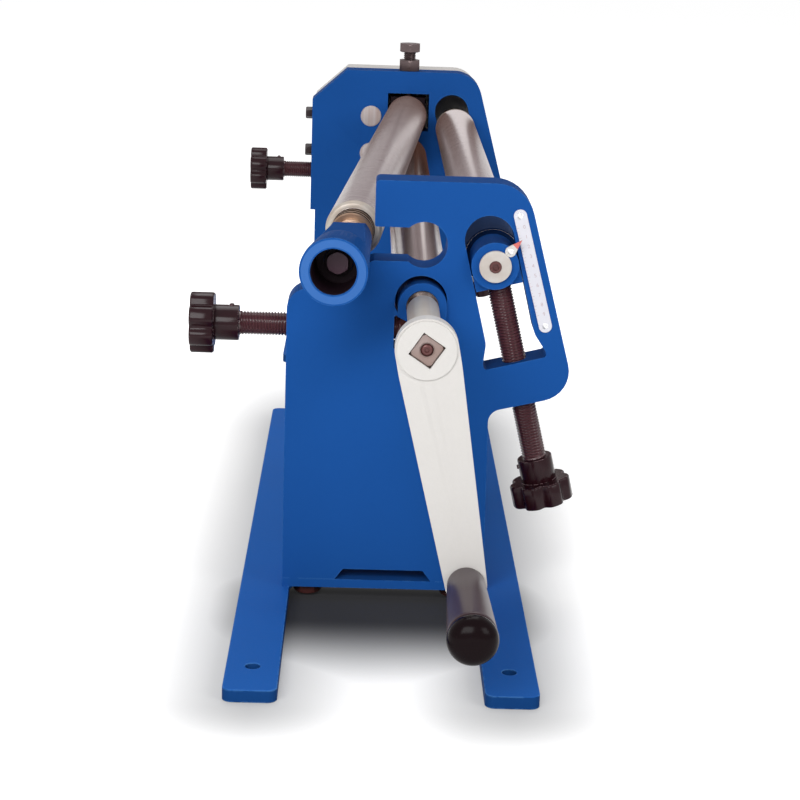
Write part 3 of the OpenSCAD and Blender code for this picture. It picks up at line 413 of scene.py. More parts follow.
def finish_of(name, group, values, metallic=0.0, coat=0.0, coat_rough=0.1, wear=None, specular=0.5):
    """Material with one effect group, its shader's constants, and rubbed edges where asked; on some finishes the
    colour of those edges is a painted edge highlight.
    """
    mat = bpy.data.materials.new(name)
    tree = cleared_tree(mat)
    out = node(tree, "ShaderNodeOutputMaterial", 700, 0)
    shader = node(tree, "ShaderNodeBsdfPrincipled", 400, 0)
    effect = node(tree, "ShaderNodeGroup", -200, 0, node_tree=group)
    for key, value in values.items():
        effect.inputs[key].default_value = value
    colour = effect.outputs["Colour"]
    if wear:
        edge_colour, amount, width = wear
        mask = fed(tree, node(tree, "ShaderNodeGroup", -200, -300, node_tree=EDGE_WEAR_AND_HIGHLIGHT), Amount=amount, Width=width)
        colour = mixed(tree, 150, 100, mask, colour, edge_colour + (1,))
    surface = fed(tree, shader, Metallic=metallic, Coat_Weight=coat, Coat_Roughness=coat_rough,
                  Specular_IOR_Level=specular, Base_Color=colour, Roughness=effect.outputs["Roughness"],
                  Normal=effect.outputs["Normal"])
    fed(tree, out, Surface=surface)
    return mat


def painted(name, colour, rough, mottle, peel, painted_top_light=1.0, **shader):
    return finish_of(name, PAINT_FILM, {"Colour": colour + (1,), "Roughness": rough, "Mottle": mottle,
                                        "Peel": peel, "Painted top light": painted_top_light}, **shader)


def lathed(name, colour, rough, lines, film, streaks=75.0, stain=(0.74, 0.60, 0.52), **shader):
    return finish_of(name, LATHE_LINES, {"Colour": colour + (1,), "Roughness": rough, "Lines": lines,
                                         "Film": film, "Streaks": streaks, "Stain": stain + (1,)}, **shader)


def grained(name, colour, rough, size, depth, change, **shader):
    return finish_of(name, SURFACE_GRAIN, {"Colour": colour + (1,), "Roughness": rough, "Size": size,
                                           "Depth": depth, "Change": change}, **shader)


# Paints: colour, roughness, mottle, peel and painted top light, which below 1 paints shade and above 1 paints light
# on faces that look up; the rubbed edges give edge colour, amount and width
# Faces that look up are darkened to 0.66: painted shade.
BLUE = painted("blue enamel", (0.0115, 0.080, 0.312), 0.48, 0.08, 0.10, 0.66,
               specular=0.008, wear=((0.045, 0.16, 0.44), 0.5, 0.0012))
# Faces that look up are darkened to 0.72: painted shade; the lighter rubbed edges are partly a painted edge
# highlight.
SLEEVE_BLUE = painted("blue sleeve enamel", (0.0115, 0.078, 0.300), 0.42, 0.10, 0.10, 0.72,
                      specular=0.004, wear=((0.07, 0.20, 0.50), 0.35, 0.0012))
# Darker base paints shade on the rails' sides and ends, and the factor 2.05 paints light on their tops; the bright
# rubbed edges are partly painted edge highlights.
RAIL_BLUE_PAINTED_SHADING = painted("blue rail enamel with painted shading", (0.0085, 0.056, 0.21), 0.48, 0.14, 0.10, 2.05,
                    specular=0.02, wear=((0.10, 0.28, 0.62), 0.7, 0.0014))
# Lighter blue of the sleeve's rim: painted highlight.
RIM_BLUE_HIGHLIGHT = painted("blue rim with painted highlight", (0.036, 0.135, 0.41), 0.35, 0.16, 0.08, coat=0.1, specular=0.05)
CREAM = painted("off-white enamel", (0.62, 0.60, 0.577), 0.42, 0.05, 0.10,
                coat=0.10, coat_rough=0.2, specular=0.35, wear=((0.55, 0.53, 0.49), 0.35, 0.0009))
ENAMEL_PLATE = painted("white scale enamel", (0.685, 0.68, 0.735), 0.34, 0.04, 0.03, coat=0.1, specular=0.3)
RED_TIP = painted("red pointer tip", (0.62, 0.13, 0.11), 0.35, 0.10, 0.03, coat=0.2)
MARK_INK = painted("faded mark", (0.50, 0.40, 0.43), 0.5, 0.10, 0.02)

# Turned steel: colour, roughness, lines, film, and the streaks and stain of that film
ROLL_STEEL = lathed("ground roll steel", (0.50, 0.45, 0.455), 0.28, 0.06, 0.20, 45.0, metallic=0.86)
# Dark brown film over nearly the whole lower roll, in lengthwise streaks.
STREAKED_ROLL = lathed("dark streaked roll steel", (0.47, 0.41, 0.405), 0.20, 0.05, 0.98,
                       stain=(0.11, 0.05, 0.04), metallic=0.9)
BRIGHT_STEEL = lathed("bright turned steel", (0.60, 0.58, 0.56), 0.27, 0.22, 0.2, metallic=1.0)
SHAFT_STEEL = lathed("dull shaft steel", (0.56, 0.52, 0.45), 0.50, 0.3, 0.6, metallic=0.35)
# Pale and little metallic, so that the chamfers at roll ends show bright: painted highlight.
SHOULDER_HIGHLIGHT = lathed("pale shoulder steel, painted highlight", (0.50, 0.46, 0.41), 0.45, 0.3, 0.5, metallic=0.35, specular=0.4)
RING_STEEL = lathed("brown ring steel", (0.36, 0.25, 0.18), 0.34, 0.25, 0.6, metallic=0.9)
END_STEEL = lathed("navy roll end", (0.008, 0.026, 0.082), 0.6, 0.2, 0.3, specular=0.01)
SQUARE_STEEL = lathed("brown bar end", (0.30, 0.235, 0.22), 0.5, 0.3, 0.5, metallic=0.3, specular=0.3)
WASHER_STEEL = lathed("dull washer", (0.56, 0.53, 0.50), 0.5, 0.25, 0.35, metallic=0.1, specular=0.3)
STUD_STEEL = lathed("turned stud steel", (0.62, 0.57, 0.57), 0.38, 0.25, 0.7, 160.0, metallic=0.25)

# Grained surfaces: colour, roughness, size and depth of the grain, change of tone
BROWN_SCREW = grained("browned screw", (0.085, 0.026, 0.024), 0.30, 1100.0, 0.10, 0.4, metallic=0.4)
# Near black: painted shade at the bottoms of the wire grooves and in the gap round the crank's square.
GROOVE_SHADE = grained("painted groove shade", (0.012, 0.006, 0.004), 0.6, 900.0, 0.1, 0.3, specular=0.1)
OXIDE_STEEL = grained("brown oxide steel", (0.12, 0.088, 0.088), 0.34, 1100.0, 0.10, 0.4, metallic=0.7)
DARK_BROWN = grained("dark brown steel", (0.050, 0.013, 0.011), 0.45, 900.0, 0.10, 0.4, specular=0.08)
CUP_STEEL = grained("dull cup steel", (0.086, 0.040, 0.062), 0.36, 1100.0, 0.10, 0.4, specular=0.22)
# Near black: in the sleeve's cup it paints the shade of the bore and of the washer at its bottom.
DARK_STEEL_AND_BORE_SHADE = grained("near-black steel and painted bore shade", (0.010, 0.004, 0.007), 0.5, 900.0, 0.10, 0.4, specular=0.12)
GEAR_STEEL = grained("cut gear steel", (0.30, 0.28, 0.26), 0.42, 700.0, 0.15, 0.3, metallic=1.0)
ZINC = grained("zinc plating", (0.66, 0.66, 0.67), 0.30, 1400.0, 0.06, 0.16, metallic=1.0)
DARK_BOLT = grained("blackened bolt", (0.024, 0.013, 0.014), 0.38, 1100.0, 0.12, 0.4,
                    specular=0.3, wear=((0.16, 0.12, 0.12), 0.5, 0.0006))
THREAD_BLACK = grained("blackened thread", (0.075, 0.026, 0.031), 0.20, 1200.0, 0.06, 0.5, specular=0.55)
# Its bright rubbed edges are partly wear and partly painted highlight lines on the lobes.
KNOB_BLACK = grained("moulded knob", (0.020, 0.0042, 0.0068), 0.18, 1500.0, 0.03, 0.25,
                     specular=0.15, coat=0.03, wear=((0.27, 0.18, 0.19), 0.9, 0.0007))
# Two tones of one grip: the barrel lighter as painted light from above, the end darker as painted shade.
GRIP_BARREL_PAINTED_LIGHT = grained("satin grip barrel, painted light", (0.046, 0.027, 0.032), 0.36, 600.0, 0.0, 0.08, specular=0.30)
GRIP_END_PAINTED_SHADE = grained("polished grip end, painted shade", (0.0060, 0.0022, 0.0030), 0.20, 600.0, 0.0, 0.08, specular=0.06)

SLOT_FINISH = {
    "blue_paint": BLUE, "cream_paint": CREAM, "roll_steel": ROLL_STEEL, "turned_steel": BRIGHT_STEEL,
    "gear_steel": GEAR_STEEL, "zinc_bolt": ZINC, "dark_bolts": DARK_BOLT, "blackened_screw": THREAD_BLACK,
    "black_knob": KNOB_BLACK, "black_grip": GRIP_BARREL_PAINTED_LIGHT, "white_plate": ENAMEL_PLATE}
NODE_SLOT = {s["node"]: s["material_slot"] for s in frame["record"]["subparts"]}
NODE_BODY = {n: b for b, members in frame["record"]["behaviour"]["bodies"].items() for n in members}
for n, solid in frame["nodes"].items():
    solid.data.materials.clear()
    solid.data.materials.append(SLOT_FINISH[NODE_SLOT[n]])


# Cast, sawn and painted pieces: the solids with their edges rounded

def rounded_solid(name, source, width, finish=None, width_of=None, segments=3, whole_faces=False):
    """Copy of a solid with rounded edges; width_of(edge middle in mm) gives a share of the width."""
    bm = bmesh.new()
    bm.from_mesh(frame["nodes"][source].data)
    bmesh.ops.remove_doubles(bm, verts=bm.verts, dist=0.000004)
    bmesh.ops.dissolve_limit(bm, angle_limit=math.radians(0.5), verts=bm.verts, edges=bm.edges)
    if whole_faces:
        bmesh.ops.triangulate(bm, faces=bm.faces, quad_method="BEAUTY", ngon_method="BEAUTY")
    sharp = math.radians(34)
    weight = bm.edges.layers.float.new("bevel_weight_edge")
    for e in bm.edges:
        if len(e.link_faces) == 2 and e.calc_face_angle(0) > sharp:
            middle = (e.verts[0].co + e.verts[1].co) / 2 / MM
            e[weight] = width_of(middle) if width_of else 1.0
    mesh = mesh_of(name, bm)
    mesh.shade_smooth()
    mesh.set_sharp_from_angle(angle=sharp)
    piece = linked(name, mesh)
    piece.data.materials.append(finish or SLOT_FINISH[NODE_SLOT[source]])
    soft = piece.modifiers.new("rounded edges", "BEVEL")
    soft.width = width * MM
    soft.segments = segments
    soft.limit_method = "WEIGHT"
    soft.use_clamp_overlap = True
    soft.harden_normals = True
    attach(piece, NODE_BODY[source])
    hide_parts(source)


def inside_openings(p):
    """True near the bores and slots of a frame, where the edges are cut sharper."""
    dx, dz = p.x - REAR_X, p.z - REAR_Z
    across = dx * math.cos(SLANT) + dz * math.sin(SLANT)
    down = dx * math.sin(SLANT) - dz * math.cos(SLANT)
    rear_slot = abs(across) < 22 and -18 < down < 63
    lower_slot = 2 < p.x < 39 and 174 < p.z < 227
    top_seat = -9 < p.x < 38 and 228 < p.z < 268
    return rear_slot or lower_slot or top_seat


def frame_edge(p):
    """Share of the full rounding: nearly none at the foot, little in the openings."""
    if p.z < BASE_Z + 0.5:
        return 0.1
    return 0.28 if inside_openings(p) else 1.0


def rail_edge(p):
    """Share of the full rounding: less below, where the rail meets the floor."""
    return 1.0 if p.z > 5 else 0.3


rounded_solid("crank_side_frame", "near_frame", 3.2, width_of=frame_edge, segments=4, whole_faces=True)
rounded_solid("gear_side_frame", "far_frame", 3.2, width_of=frame_edge, segments=4, whole_faces=True)
rounded_solid("left_foot_rail", "left_rail", 2.2, RAIL_BLUE_PAINTED_SHADING, width_of=rail_edge)
rounded_solid("right_foot_rail", "right_rail", 2.2, RAIL_BLUE_PAINTED_SHADING, width_of=rail_edge)
rounded_solid("front_cross_flat", "front_crossbar", 0.7)
rounded_solid("rear_cross_flat", "rear_crossbar", 0.7)
rounded_solid("gear_cover_shell", "gear_cover", 1.6)
rounded_solid("crank_casting", "crank_arm", 2.0, segments=4)
rounded_solid("release_sleeve_turned", "release_sleeve", 0.9, SLEEVE_BLUE)
rounded_solid("near_bearing_block", "lower_block_near", 0.7)
rounded_solid("far_bearing_block", "lower_block_far", 0.7)
rounded_solid("near_rear_block", "rear_block_near", 1.0)
rounded_solid("far_rear_block", "rear_block_far", 1.0, DARK_BROWN)
rounded_solid("swivel_block_milled", "swivel_block", 0.6, DARK_STEEL_AND_BORE_SHADE)
for which in ("near", "far"):
    rounded_solid("lifting_wedge_" + which, "wedge_" + which, 0.5, DARK_BROWN)


# Rolls

def along_roll(x, z):
    """Place of a roll's axis; its local Z is the machine's Y."""
    return placed((x, 0, z), ALONG, ACROSS)


def top_roll_part(name, profile, finish, replaced=(), body="upper_roll_body", steps=BIG_ROUND):
    """Turned part that swings with the top roll, drawn by the machine's Y and a radius."""
    bm = turned([(y - PIVOT_Y, r) for y, r in profile], steps)
    made(name, bm, SWUNG, finish, body, replaced)


def top_roll_pieces():
    """Plain body with its far journal, then the grooved part and the stub inside the sleeve."""
    plain_y = ROLL_FRONT_Y + 19
    stub_r, grooved_r = 10.5, 14.5
    top_roll_part("top_roll", [
        (plain_y, 0), (plain_y, ROLL_R - 2.0), (plain_y + 0.4, ROLL_R - 1.2), (plain_y + 2.0, ROLL_R),
        (351.2, ROLL_R), (352, ROLL_R - 0.8), (352, 10), (402, 10), (402, 8), (412, 8), (412, 6), (426, 6),
        (426.2, 0)], ROLL_STEEL, ["upper_roll"])
    p = [(STUB_Y, 0), (STUB_Y, 8), (FRONT_Y + 12.3, 8), (FRONT_Y + 12.3, stub_r)]
    for back in (10, 5):
        p += ring_groove(ROLL_FRONT_Y - back, stub_r, 2.5)
    p += [(ROLL_FRONT_Y, stub_r), (ROLL_FRONT_Y, grooved_r - 0.8), (ROLL_FRONT_Y + 0.8, grooved_r)]
    grooves = [(ROLL_FRONT_Y + 19 * (1 - (i + 0.5) / 3), 5 * (1 - i / 6)) for i in (2, 1, 0)]
    for y, width in grooves:
        p += ring_groove(y, grooved_r, width)
    p += [(plain_y, grooved_r), (plain_y + 0.5, grooved_r), (plain_y + 0.5, 0)]
    top_roll_part("top_roll_wire_grooves", p, RING_STEEL)
    # Near-black rings at the bottoms of the wire grooves: painted shade.
    for i, (y, width) in enumerate(grooves):
        floor = [(a, r + 0.05) for a, r in ring_groove(y, grooved_r, width * 0.94)]
        top_roll_part("wire_groove_shade_%d" % i, floor, GROOVE_SHADE)
    # Pale ring on the top roll's shoulder: painted highlight.
    top_roll_part("top_roll_shoulder", [
        (plain_y + 0.2, 14.6), (plain_y - 0.04, 14.6), (plain_y - 0.04, 17.0), (plain_y + 0.36, 17.9),
        (plain_y + 2.0, ROLL_R + 0.03), (plain_y + 5.0, ROLL_R + 0.03), (plain_y + 5.1, ROLL_R - 0.1)],
        SHOULDER_HIGHLIGHT)


def roll_end_band(name, at, bore_r, body, length):
    """Dark navy end of a roll: its crank-side face and a narrow band round it."""
    y = ROLL_FRONT_Y
    p = [(y + 0.3, bore_r), (y - 0.06, bore_r), (y - 0.06, 18.0), (y + 0.5, ROLL_R + 0.04),
         (y + length, ROLL_R + 0.04), (y + length + 0.2, ROLL_R - 0.1)]
    made(name, turned(p, BIG_ROUND), at, END_STEEL, body)


def lower_roll_pieces():
    """Lower roll with its crank shaft, the squared end in the crank and the screw in that end."""
    body = "lower_roll_body"
    at = along_roll(ROLL_X, LOWER_Z)
    p = [(FRONT_Y - 92, 0), (FRONT_Y - 92, 10), (FRONT_Y - 91.5, 10.5), (FRONT_Y - 16.8, 10.5), (FRONT_Y - 16, 9.7),
         (FRONT_Y - 16, 8), (FRONT_Y - 4, 8), (FRONT_Y - 4, 10.5), (ROLL_FRONT_Y, 10.5), (ROLL_FRONT_Y, 18.2),
         (ROLL_FRONT_Y + 0.8, ROLL_R), (ROLL_BACK_Y - 0.8, ROLL_R), (ROLL_BACK_Y, 18.2), (ROLL_BACK_Y, 10),
         (390, 10), (390, 8), (400, 8), (400, 6), (414, 6), (414.2, 0)]
    made("lower_roll_turned", turned(p, BIG_ROUND), at, STREAKED_ROLL, body, ["lower_roll"])
    p = [(FRONT_Y - 94, 10.0), (FRONT_Y - 94, 10.53), (FRONT_Y - 16.8, 10.53), (FRONT_Y - 16.0, 9.8),
         (FRONT_Y - 16.0, 8.03), (FRONT_Y - 4.2, 8.03), (FRONT_Y - 4.1, 7.9)]
    made("crank_shaft_skin", turned(p, BIG_ROUND), at, SHAFT_STEEL, body)
    roll_end_band("lower_roll_end", at, 10.6, body, 16)
    # Squared end, its corners left round from the bar
    turn = math.radians(45) + CRANK_TURN
    square = placed((ROLL_X, 0, LOWER_Z), ALONG, (math.cos(turn), 0, math.sin(turn)))
    bar = flat_sided(8.0, 4, 10.2)
    bm = bmesh.new()
    rings = [ring(bm, MID_ROUND, CRANK_Y + y, r) for y, r in (
        (29, bar), (0.8, bar), (0.05, lambda a: bar(a) - 0.8), (0.05, 4.9), (0.9, 4.0), (5.0, 4.0))]
    skinned(bm, rings)
    bm.faces.new(rings[0])
    bm.faces.new(rings[-1])
    made("crank_square", bm, square, SQUARE_STEEL, body)
    # Dark ring in the gap between the bar and the square hole of the arm: painted shade
    bm = bmesh.new()
    skinned(bm, [ring(bm, MID_ROUND, CRANK_Y + y, flat_sided(half, 4, corner))
                 for half, corner, y in ((7.9, 10.1, -0.04), (8.55, 10.9, -0.04), (8.6, 11.0, 0.3))])
    made("crank_square_gap_shade", bm, square, GROOVE_SHADE, body)
    p = [(17, 0), (17, 3.9), (1.9, 3.9), (1.1, 3.6), (0.5, 2.9), (0.2, 1.9), (0.3, 1.5), (1.2, 1.2), (1.4, 0)]
    bm = turned([(CRANK_Y + y, r) for y, r in p], SMALL_ROUND)
    made("crank_end_screw", bm, at, BROWN_SCREW, body, ["crank_screw"])


def rear_roll_pieces():
    """Rear roll, the chamfer at its gear end painted pale as a highlight, and a washer and screw at each end."""
    body = "rear_roll_body"
    at = along_roll(REAR_X, REAR_Z)
    p = [(FRONT_Y - 6.3, 0), (FRONT_Y - 6.3, 8), (ROLL_FRONT_Y, 8), (ROLL_FRONT_Y, 18.2),
         (ROLL_FRONT_Y + 0.8, ROLL_R), (ROLL_BACK_Y - 0.8, ROLL_R), (ROLL_BACK_Y, 18.2), (ROLL_BACK_Y, 8),
         (BACK_Y + 6.3, 8), (BACK_Y + 6.3, 0)]
    made("rear_roll_turned", turned(p, BIG_ROUND), at, ROLL_STEEL, body, ["rear_roll"])
    # Pale chamfer at the rear roll's gear end: painted highlight.
    p = [(349.0, ROLL_R - 0.1), (349.2, ROLL_R + 0.04), (354.6, ROLL_R + 0.04), (356.05, 17.6), (356.05, 10.5)]
    made("rear_roll_far_rim", turned(p, BIG_ROUND), at, SHOULDER_HIGHLIGHT, body)
    roll_end_band("rear_roll_end", at, 8.1, body, 50)
    washers, screws = bmesh.new(), bmesh.new()
    for face, out in ((FRONT_Y, -1), (BACK_Y, 1)):
        p = [(face + out * y, r) for y, r in ((6.3, 3.9), (6.3, 10.5), (8.8, 10.5), (8.8, 3.9))]
        turned(eased(p, 0.5), bm=washers)
        p = [(6, 0), (6, 4), (9.2, 4), (9.7, 3.6), (9.7, 2.3), (7.4, 2.1), (7.0, 0)]
        turned([(face + out * y, r) for y, r in p], SMALL_ROUND, screws)
    made("rear_roll_washers", washers, at, WASHER_STEEL, body, ["rear_washers"])
    made("rear_roll_end_screws", screws, at, BROWN_SCREW, body, ["rear_end_screws"])


top_roll_pieces()
lower_roll_pieces()
rear_roll_pieces()


# Adjusting screws and star knobs

def adjusting_screw(name, source, at, top, length, body):
    """Threaded rod from its dog down to the knob's hub."""
    bm = threaded(top - length, top, SCREW_R, SCREW_PITCH)
    dog = [(-0.5, 0), (-0.5, 5), (1.0, 5), (1.0, 3.4), (4.4, 3.4), (4.4, 5), (6.2, 5), (6.2, 0)]
    turned([(top + z, r) for z, r in dog], 36, bm)
    made(name, bm, at, THREAD_BLACK, body, [source])


def star_knob(name, source, at, face, body):
    """Lobed disc on a round hub; face is where the hub meets the screw."""
    hub_end = face - HUB_LEN
    hub = eased([(face, 8.2), (face, HUB_R), (hub_end - 0.5, HUB_R), (hub_end - 0.5, 0)], 0.9)
    bm = turned([(face - 0.4, 0), (face - 0.4, 8.2)] + hub, 64)
    rings = []
    # Depth in the disc as a share of its thickness, and its radius there as a share of the full one
    for depth, share in (
            (0.0, 0.0), (0.0, 0.955), (0.03, 0.985), (0.07, 1.0), (0.93, 1.0), (0.97, 0.985), (1.0, 0.95),
            (1.0, 0.66), (0.985, 0.62), (0.955, 0.60), (0.95, 0.30), (0.98, 0.26), (0.98, 0.0)):
        lobe = 3.4 * min(1.0, max(0.0, (share - 0.55) / 0.3))
        lobed = lambda a: (KNOB_R - lobe * ((1 - math.cos(a * LOBES)) / 2) ** 2.6) * share
        rings.append(ring(bm, LOBES * 20, hub_end - KNOB_T * depth, lobed if share else 0))
    skinned(bm, rings)
    nub = turned([(HUB_R - 0.6, 0), (HUB_R - 0.6, 1.5), (HUB_R + 0.7, 1.5), (HUB_R + 1.1, 1.1), (HUB_R + 1.1, 0)], 24)
    joined(bm, nub, axes((0, 0, face - 5.0), ALONG, ACROSS))
    made(name, bm, at, KNOB_BLACK, body, [source])


for which, mid in (("near", NEAR_MID_Y), ("far", PIVOT_Y)):
    slanted_at = placed((REAR_X, mid, REAR_Z), UP_SLANT, ALONG)
    level_at = placed((LIFT_X, mid, LIFT_Z), ACROSS, ALONG)
    for kind, group, at, top, length in (
            ("slanted", "rear", slanted_at, REAR_SCREW_TOP, REAR_SCREW_LEN),
            ("lifting", "lift", level_at, LIFT_SCREW_TOP, LIFT_SCREW_LEN)):
        body = group + "_adjuster_" + which
        adjusting_screw(kind + "_screw_" + which, group + "_screw_" + which, at, top, length, body)
        star_knob(kind + "_knob_" + which, group + "_knob_" + which, at, top - length, body)


# Crank grip

def crank_grip_pieces():
    """Satin barrel that widens outwards, lighter as painted light from above, and its polished round end, darker as
    painted shade.
    """
    pin = (ROLL_X + CRANK_R * math.sin(CRANK_TURN), CRANK_Y - 0.3, LOWER_Z - CRANK_R * math.cos(CRANK_TURN))
    at = placed(pin, TO_CRANK, ACROSS)
    p = [(0, 0), (0, 10.6), (0.5, 11.4), (1.5, 11.8), (40, 13.3), (70, 14.4), (82, 14.8), (83.6, 14.85),
         (84.4, 14.5), (84.6, 13.0), (84.6, 0)]
    made("crank_grip_barrel", turned(p), at, GRIP_BARREL_PAINTED_LIGHT, "grip", ["crank_grip"])
    dome_z, dome_len, dome_r, steps = 89.6, 10.3, 15.2, 12
    p = [(84.5, 0), (84.5, 13.2), (86.2, 13.3), (87.0, 13.9), (87.6, 14.7), (88.5, 15.12), (dome_z, dome_r)]
    for i in range(1, steps):
        a = math.pi / 2 * i / steps
        p.append((dome_z + dome_len * math.sin(a), dome_r * math.cos(a) ** 0.82))
    p.append((99.95, 0))
    made("crank_grip_end", turned(p), at, GRIP_END_PAINTED_SHADE, "grip")


crank_grip_pieces()


# Bolts and small hardware

def swivel_bolt_pieces():
    """Bolt that the swivel block turns on, and its locknut."""
    at = placed((ROLL_X, PIVOT_Y, TOP_Z), (0, 0, 1), ACROSS)
    bm = hex_head(19, 7.5, 18.5)
    turned([(17.9, 0), (17.9, 8.6), (18.5, 8.9), (18.5, 0)], SMALL_ROUND, bm)
    threaded(-20.9, 18.3, 6.0, 1.75, bm, 36)
    turned([(-20, 0), (-20, 3), (-30, 3), (-30, 0)], TINY_ROUND, bm)
    made("swivel_bolt_hex", bm, at, OXIDE_STEEL, "frame_body", ["swivel_bolt"])
    bm = hex_head(19, 10.2, 0.2)
    turned([(0, 6.2), (0, 8.9), (0.4, 8.9), (0.4, 6.2)], SMALL_ROUND, bm)
    made("swivel_locknut_hex", bm, at, OXIDE_STEEL, "frame_body", ["swivel_locknut"])


def foot_bolt_pieces():
    bm = bmesh.new()
    for y in (FRONT_Y + 13, BACK_Y - 13):
        for x in (-50, 50):
            part = hex_head(17, 6.4, crown=-1)
            turned([(0.0, 0), (0.0, 5), (29, 5), (30, 4.2), (30, 0)], TINY_ROUND, part)
            joined(bm, part, Matrix.Translation((x, y, 8.0)) @ Matrix.Rotation(math.radians(30), 4, "Z"))
    made("foot_bolt_set", bm, AS_DRAWN, BROWN_SCREW, "frame_body", ["foot_bolts"])


def stud_pieces():
    """Turned studs of the idler gears and the hexagon screws that lock them."""
    studs, locks = bmesh.new(), bmesh.new()
    for z, end in ((207.3, 402.7), (243.3, 414.7)):
        p = [(355.9, 0), (355.95, 5.0), (356.25, 9.1), (357.1, 10), (389.7, 10), (389.7, 6),
             (end - 0.5, 6), (end, 5.5), (end, 0)]
        joined(studs, turned(p, 64), axes((STUD_X, 0, z), ALONG, ACROSS))
        part = hex_head(10, 6.5)
        turned([(0.0, 0), (0.0, 3), (-46.8, 3), (-46.9, 0)], TINY_ROUND, part)
        joined(locks, part, axes((FRAME_EDGE_X, PIVOT_Y, z), (-1, 0, 0), ALONG))
    made("idler_stud_pair", studs, AS_DRAWN, STUD_STEEL, "frame_body", ["idler_studs"])
    made("stud_lock_screws", locks, AS_DRAWN, DARK_BOLT, "frame_body", ["stud_set_screws"])


def sleeve_pieces():
    """Washer and bolt at the bottom of the sleeve's cup, the cup's bore in near-black painted shade, and its rim in
    lighter blue as a painted highlight.
    """
    # Near-black washer at the bottom of the cup: painted shade.
    p = [(STUB_Y, 0), (STUB_Y, 9), (STUB_Y - 2.5, 9), (STUB_Y - 2.5, 0)]
    top_roll_part("sleeve_end_washer", eased(p, 0.4), DARK_STEEL_AND_BORE_SHADE, ["sleeve_washer"], steps=64)
    seat = STUB_Y - PIVOT_Y
    bm = hex_head(13, 5.5, seat - 2.5, crown=-1)
    turned([(seat - 2.5, 0), (seat - 2.5, 4), (seat + 15, 4), (seat + 15, 0)], TINY_ROUND, bm)
    made("sleeve_end_bolt", bm, SWUNG, CUP_STEEL, "upper_roll_body", ["sleeve_bolt"])
    rim, floor = FRONT_Y - 98, FRONT_Y - 62
    # Near-black sheet lining the cup's bore: painted shade.
    p = [(rim + 1.2, 14.24), (rim + 1.6, 13.95), (floor - 0.12, 13.95), (floor - 0.12, 9.3), (floor - 0.02, 9.3),
         (floor - 0.02, 14.24), (rim + 1.2, 14.24)]
    top_roll_part("sleeve_cup_bore", p, DARK_STEEL_AND_BORE_SHADE, body="sleeve", steps=MID_ROUND)
    # Rim of the sleeve in lighter blue: painted highlight.
    p = [(rim + 1.6, SLEEVE_R + 0.02), (rim + 0.6, SLEEVE_R - 0.05), (rim + 0.05, SLEEVE_R - 0.75),
         (rim - 0.04, SLEEVE_R - 1.5), (rim - 0.04, 15.2), (rim + 0.2, 14.6), (rim + 1.0, 14.2)]
    top_roll_part("sleeve_rim", eased(p, 0.5), RIM_BLUE_HIGHLIGHT, body="sleeve", steps=MID_ROUND)


def rivet_head():
    return turned([(-0.9, 1.0), (0, 2.0), (0.35, 1.9), (0.62, 1.3), (0.78, 0)], TINY_ROUND)


def rivet_pieces():
    """Heads of the scale's two rivets and of the pointer's."""
    bm = bmesh.new()
    for down in (0.0, SCALE_GAP):
        place = (SCALE_X + math.sin(SCALE_LEAN) * down, FRONT_Y - 1.0, SCALE_Z - math.cos(SCALE_LEAN) * down)
        joined(bm, rivet_head(), axes(place, TO_CRANK, ACROSS))
    made("scale_rivet_heads", bm, AS_DRAWN, ZINC, "frame_body", ["scale_rivets"])
    place = (REAR_X + POINTER_RIVET * math.cos(POINTER_TURN), FRONT_Y - 7.0,
             REAR_Z + POINTER_RIVET * math.sin(POINTER_TURN))
    made("pointer_rivet_head", rivet_head(), placed(place, TO_CRANK, ACROSS), ZINC, "rear_carriage",
         ["pointer_rivet"])


def weld_pieces():
    """Rippled bead in each corner between crossbar and rail, thinner at its ends."""
    bm = bmesh.new()
    bead_len, bead_r, corner_x, corner_z = 43.2, 2.9, 62, 8
    rows, round_steps = 88, 8
    for y0 in (FRONT_Y, BACK_Y - 44):
        for side in (-1, 1):
            rings = []
            for k in range(rows + 1):
                y = y0 + 0.4 + bead_len * k / rows
                ripple = 0.86 + 0.14 * abs(math.sin(math.pi * k / 5.5)) ** 0.6
                end = min(1.0, (k + 0.6) / 4, (rows - k + 0.6) / 4) ** 0.5
                across = []
                for i in range(round_steps + 1):
                    a = math.pi / 2 * i / round_steps
                    r = bead_r * ripple * end * (1 - 0.16 * math.sin(2 * a))
                    across.append(bm.verts.new((side * (corner_x - r * math.cos(a)), y, corner_z - r * math.sin(a))))
                rings.append(across + [bm.verts.new((side * corner_x, y, corner_z))])
            skinned(bm, rings)
            bm.faces.new(rings[0])
            bm.faces.new(rings[-1])
    made("weld_bead_runs", bm, AS_DRAWN, BLUE, "frame_body", ["weld_beads"])


def cover_screw_pieces():
    """Domed socket screws that hold the gear cover."""
    bm = bmesh.new()
    p = [(-12, 0), (-12, 2.4), (0, 2.4), (0, 4.4), (0.5, 4.45), (1.6, 4.0), (2.5, 2.9), (2.95, 1.9), (2.6, 1.5),
         (1.2, 1.4), (1.0, 0)]
    for x, z in ((-56, 170), (-56, 248), (50, 273), (101, 166)):
        joined(bm, turned(p, SMALL_ROUND), axes((x, BACK_Y + 52, z), ALONG, ACROSS))
    made("cover_screw_heads", bm, AS_DRAWN, DARK_BOLT, "frame_body", ["cover_screws"])


swivel_bolt_pieces()
foot_bolt_pieces()
stud_pieces()
sleeve_pieces()
rivet_pieces()
weld_pieces()
cover_screw_pieces()


# Scale plate with plain ticks and numbers, and the pointer

def add_plate(bm, outline, z0, z1):
    """Adds a flat plate of that outline between two heights."""
    low = [bm.verts.new((x, y, z0)) for x, y in outline]
    high = [bm.verts.new((x, y, z1)) for x, y in outline]
    bm.faces.new(low[::-1])
    bm.faces.new(high)
    skinned(bm, [low, high])


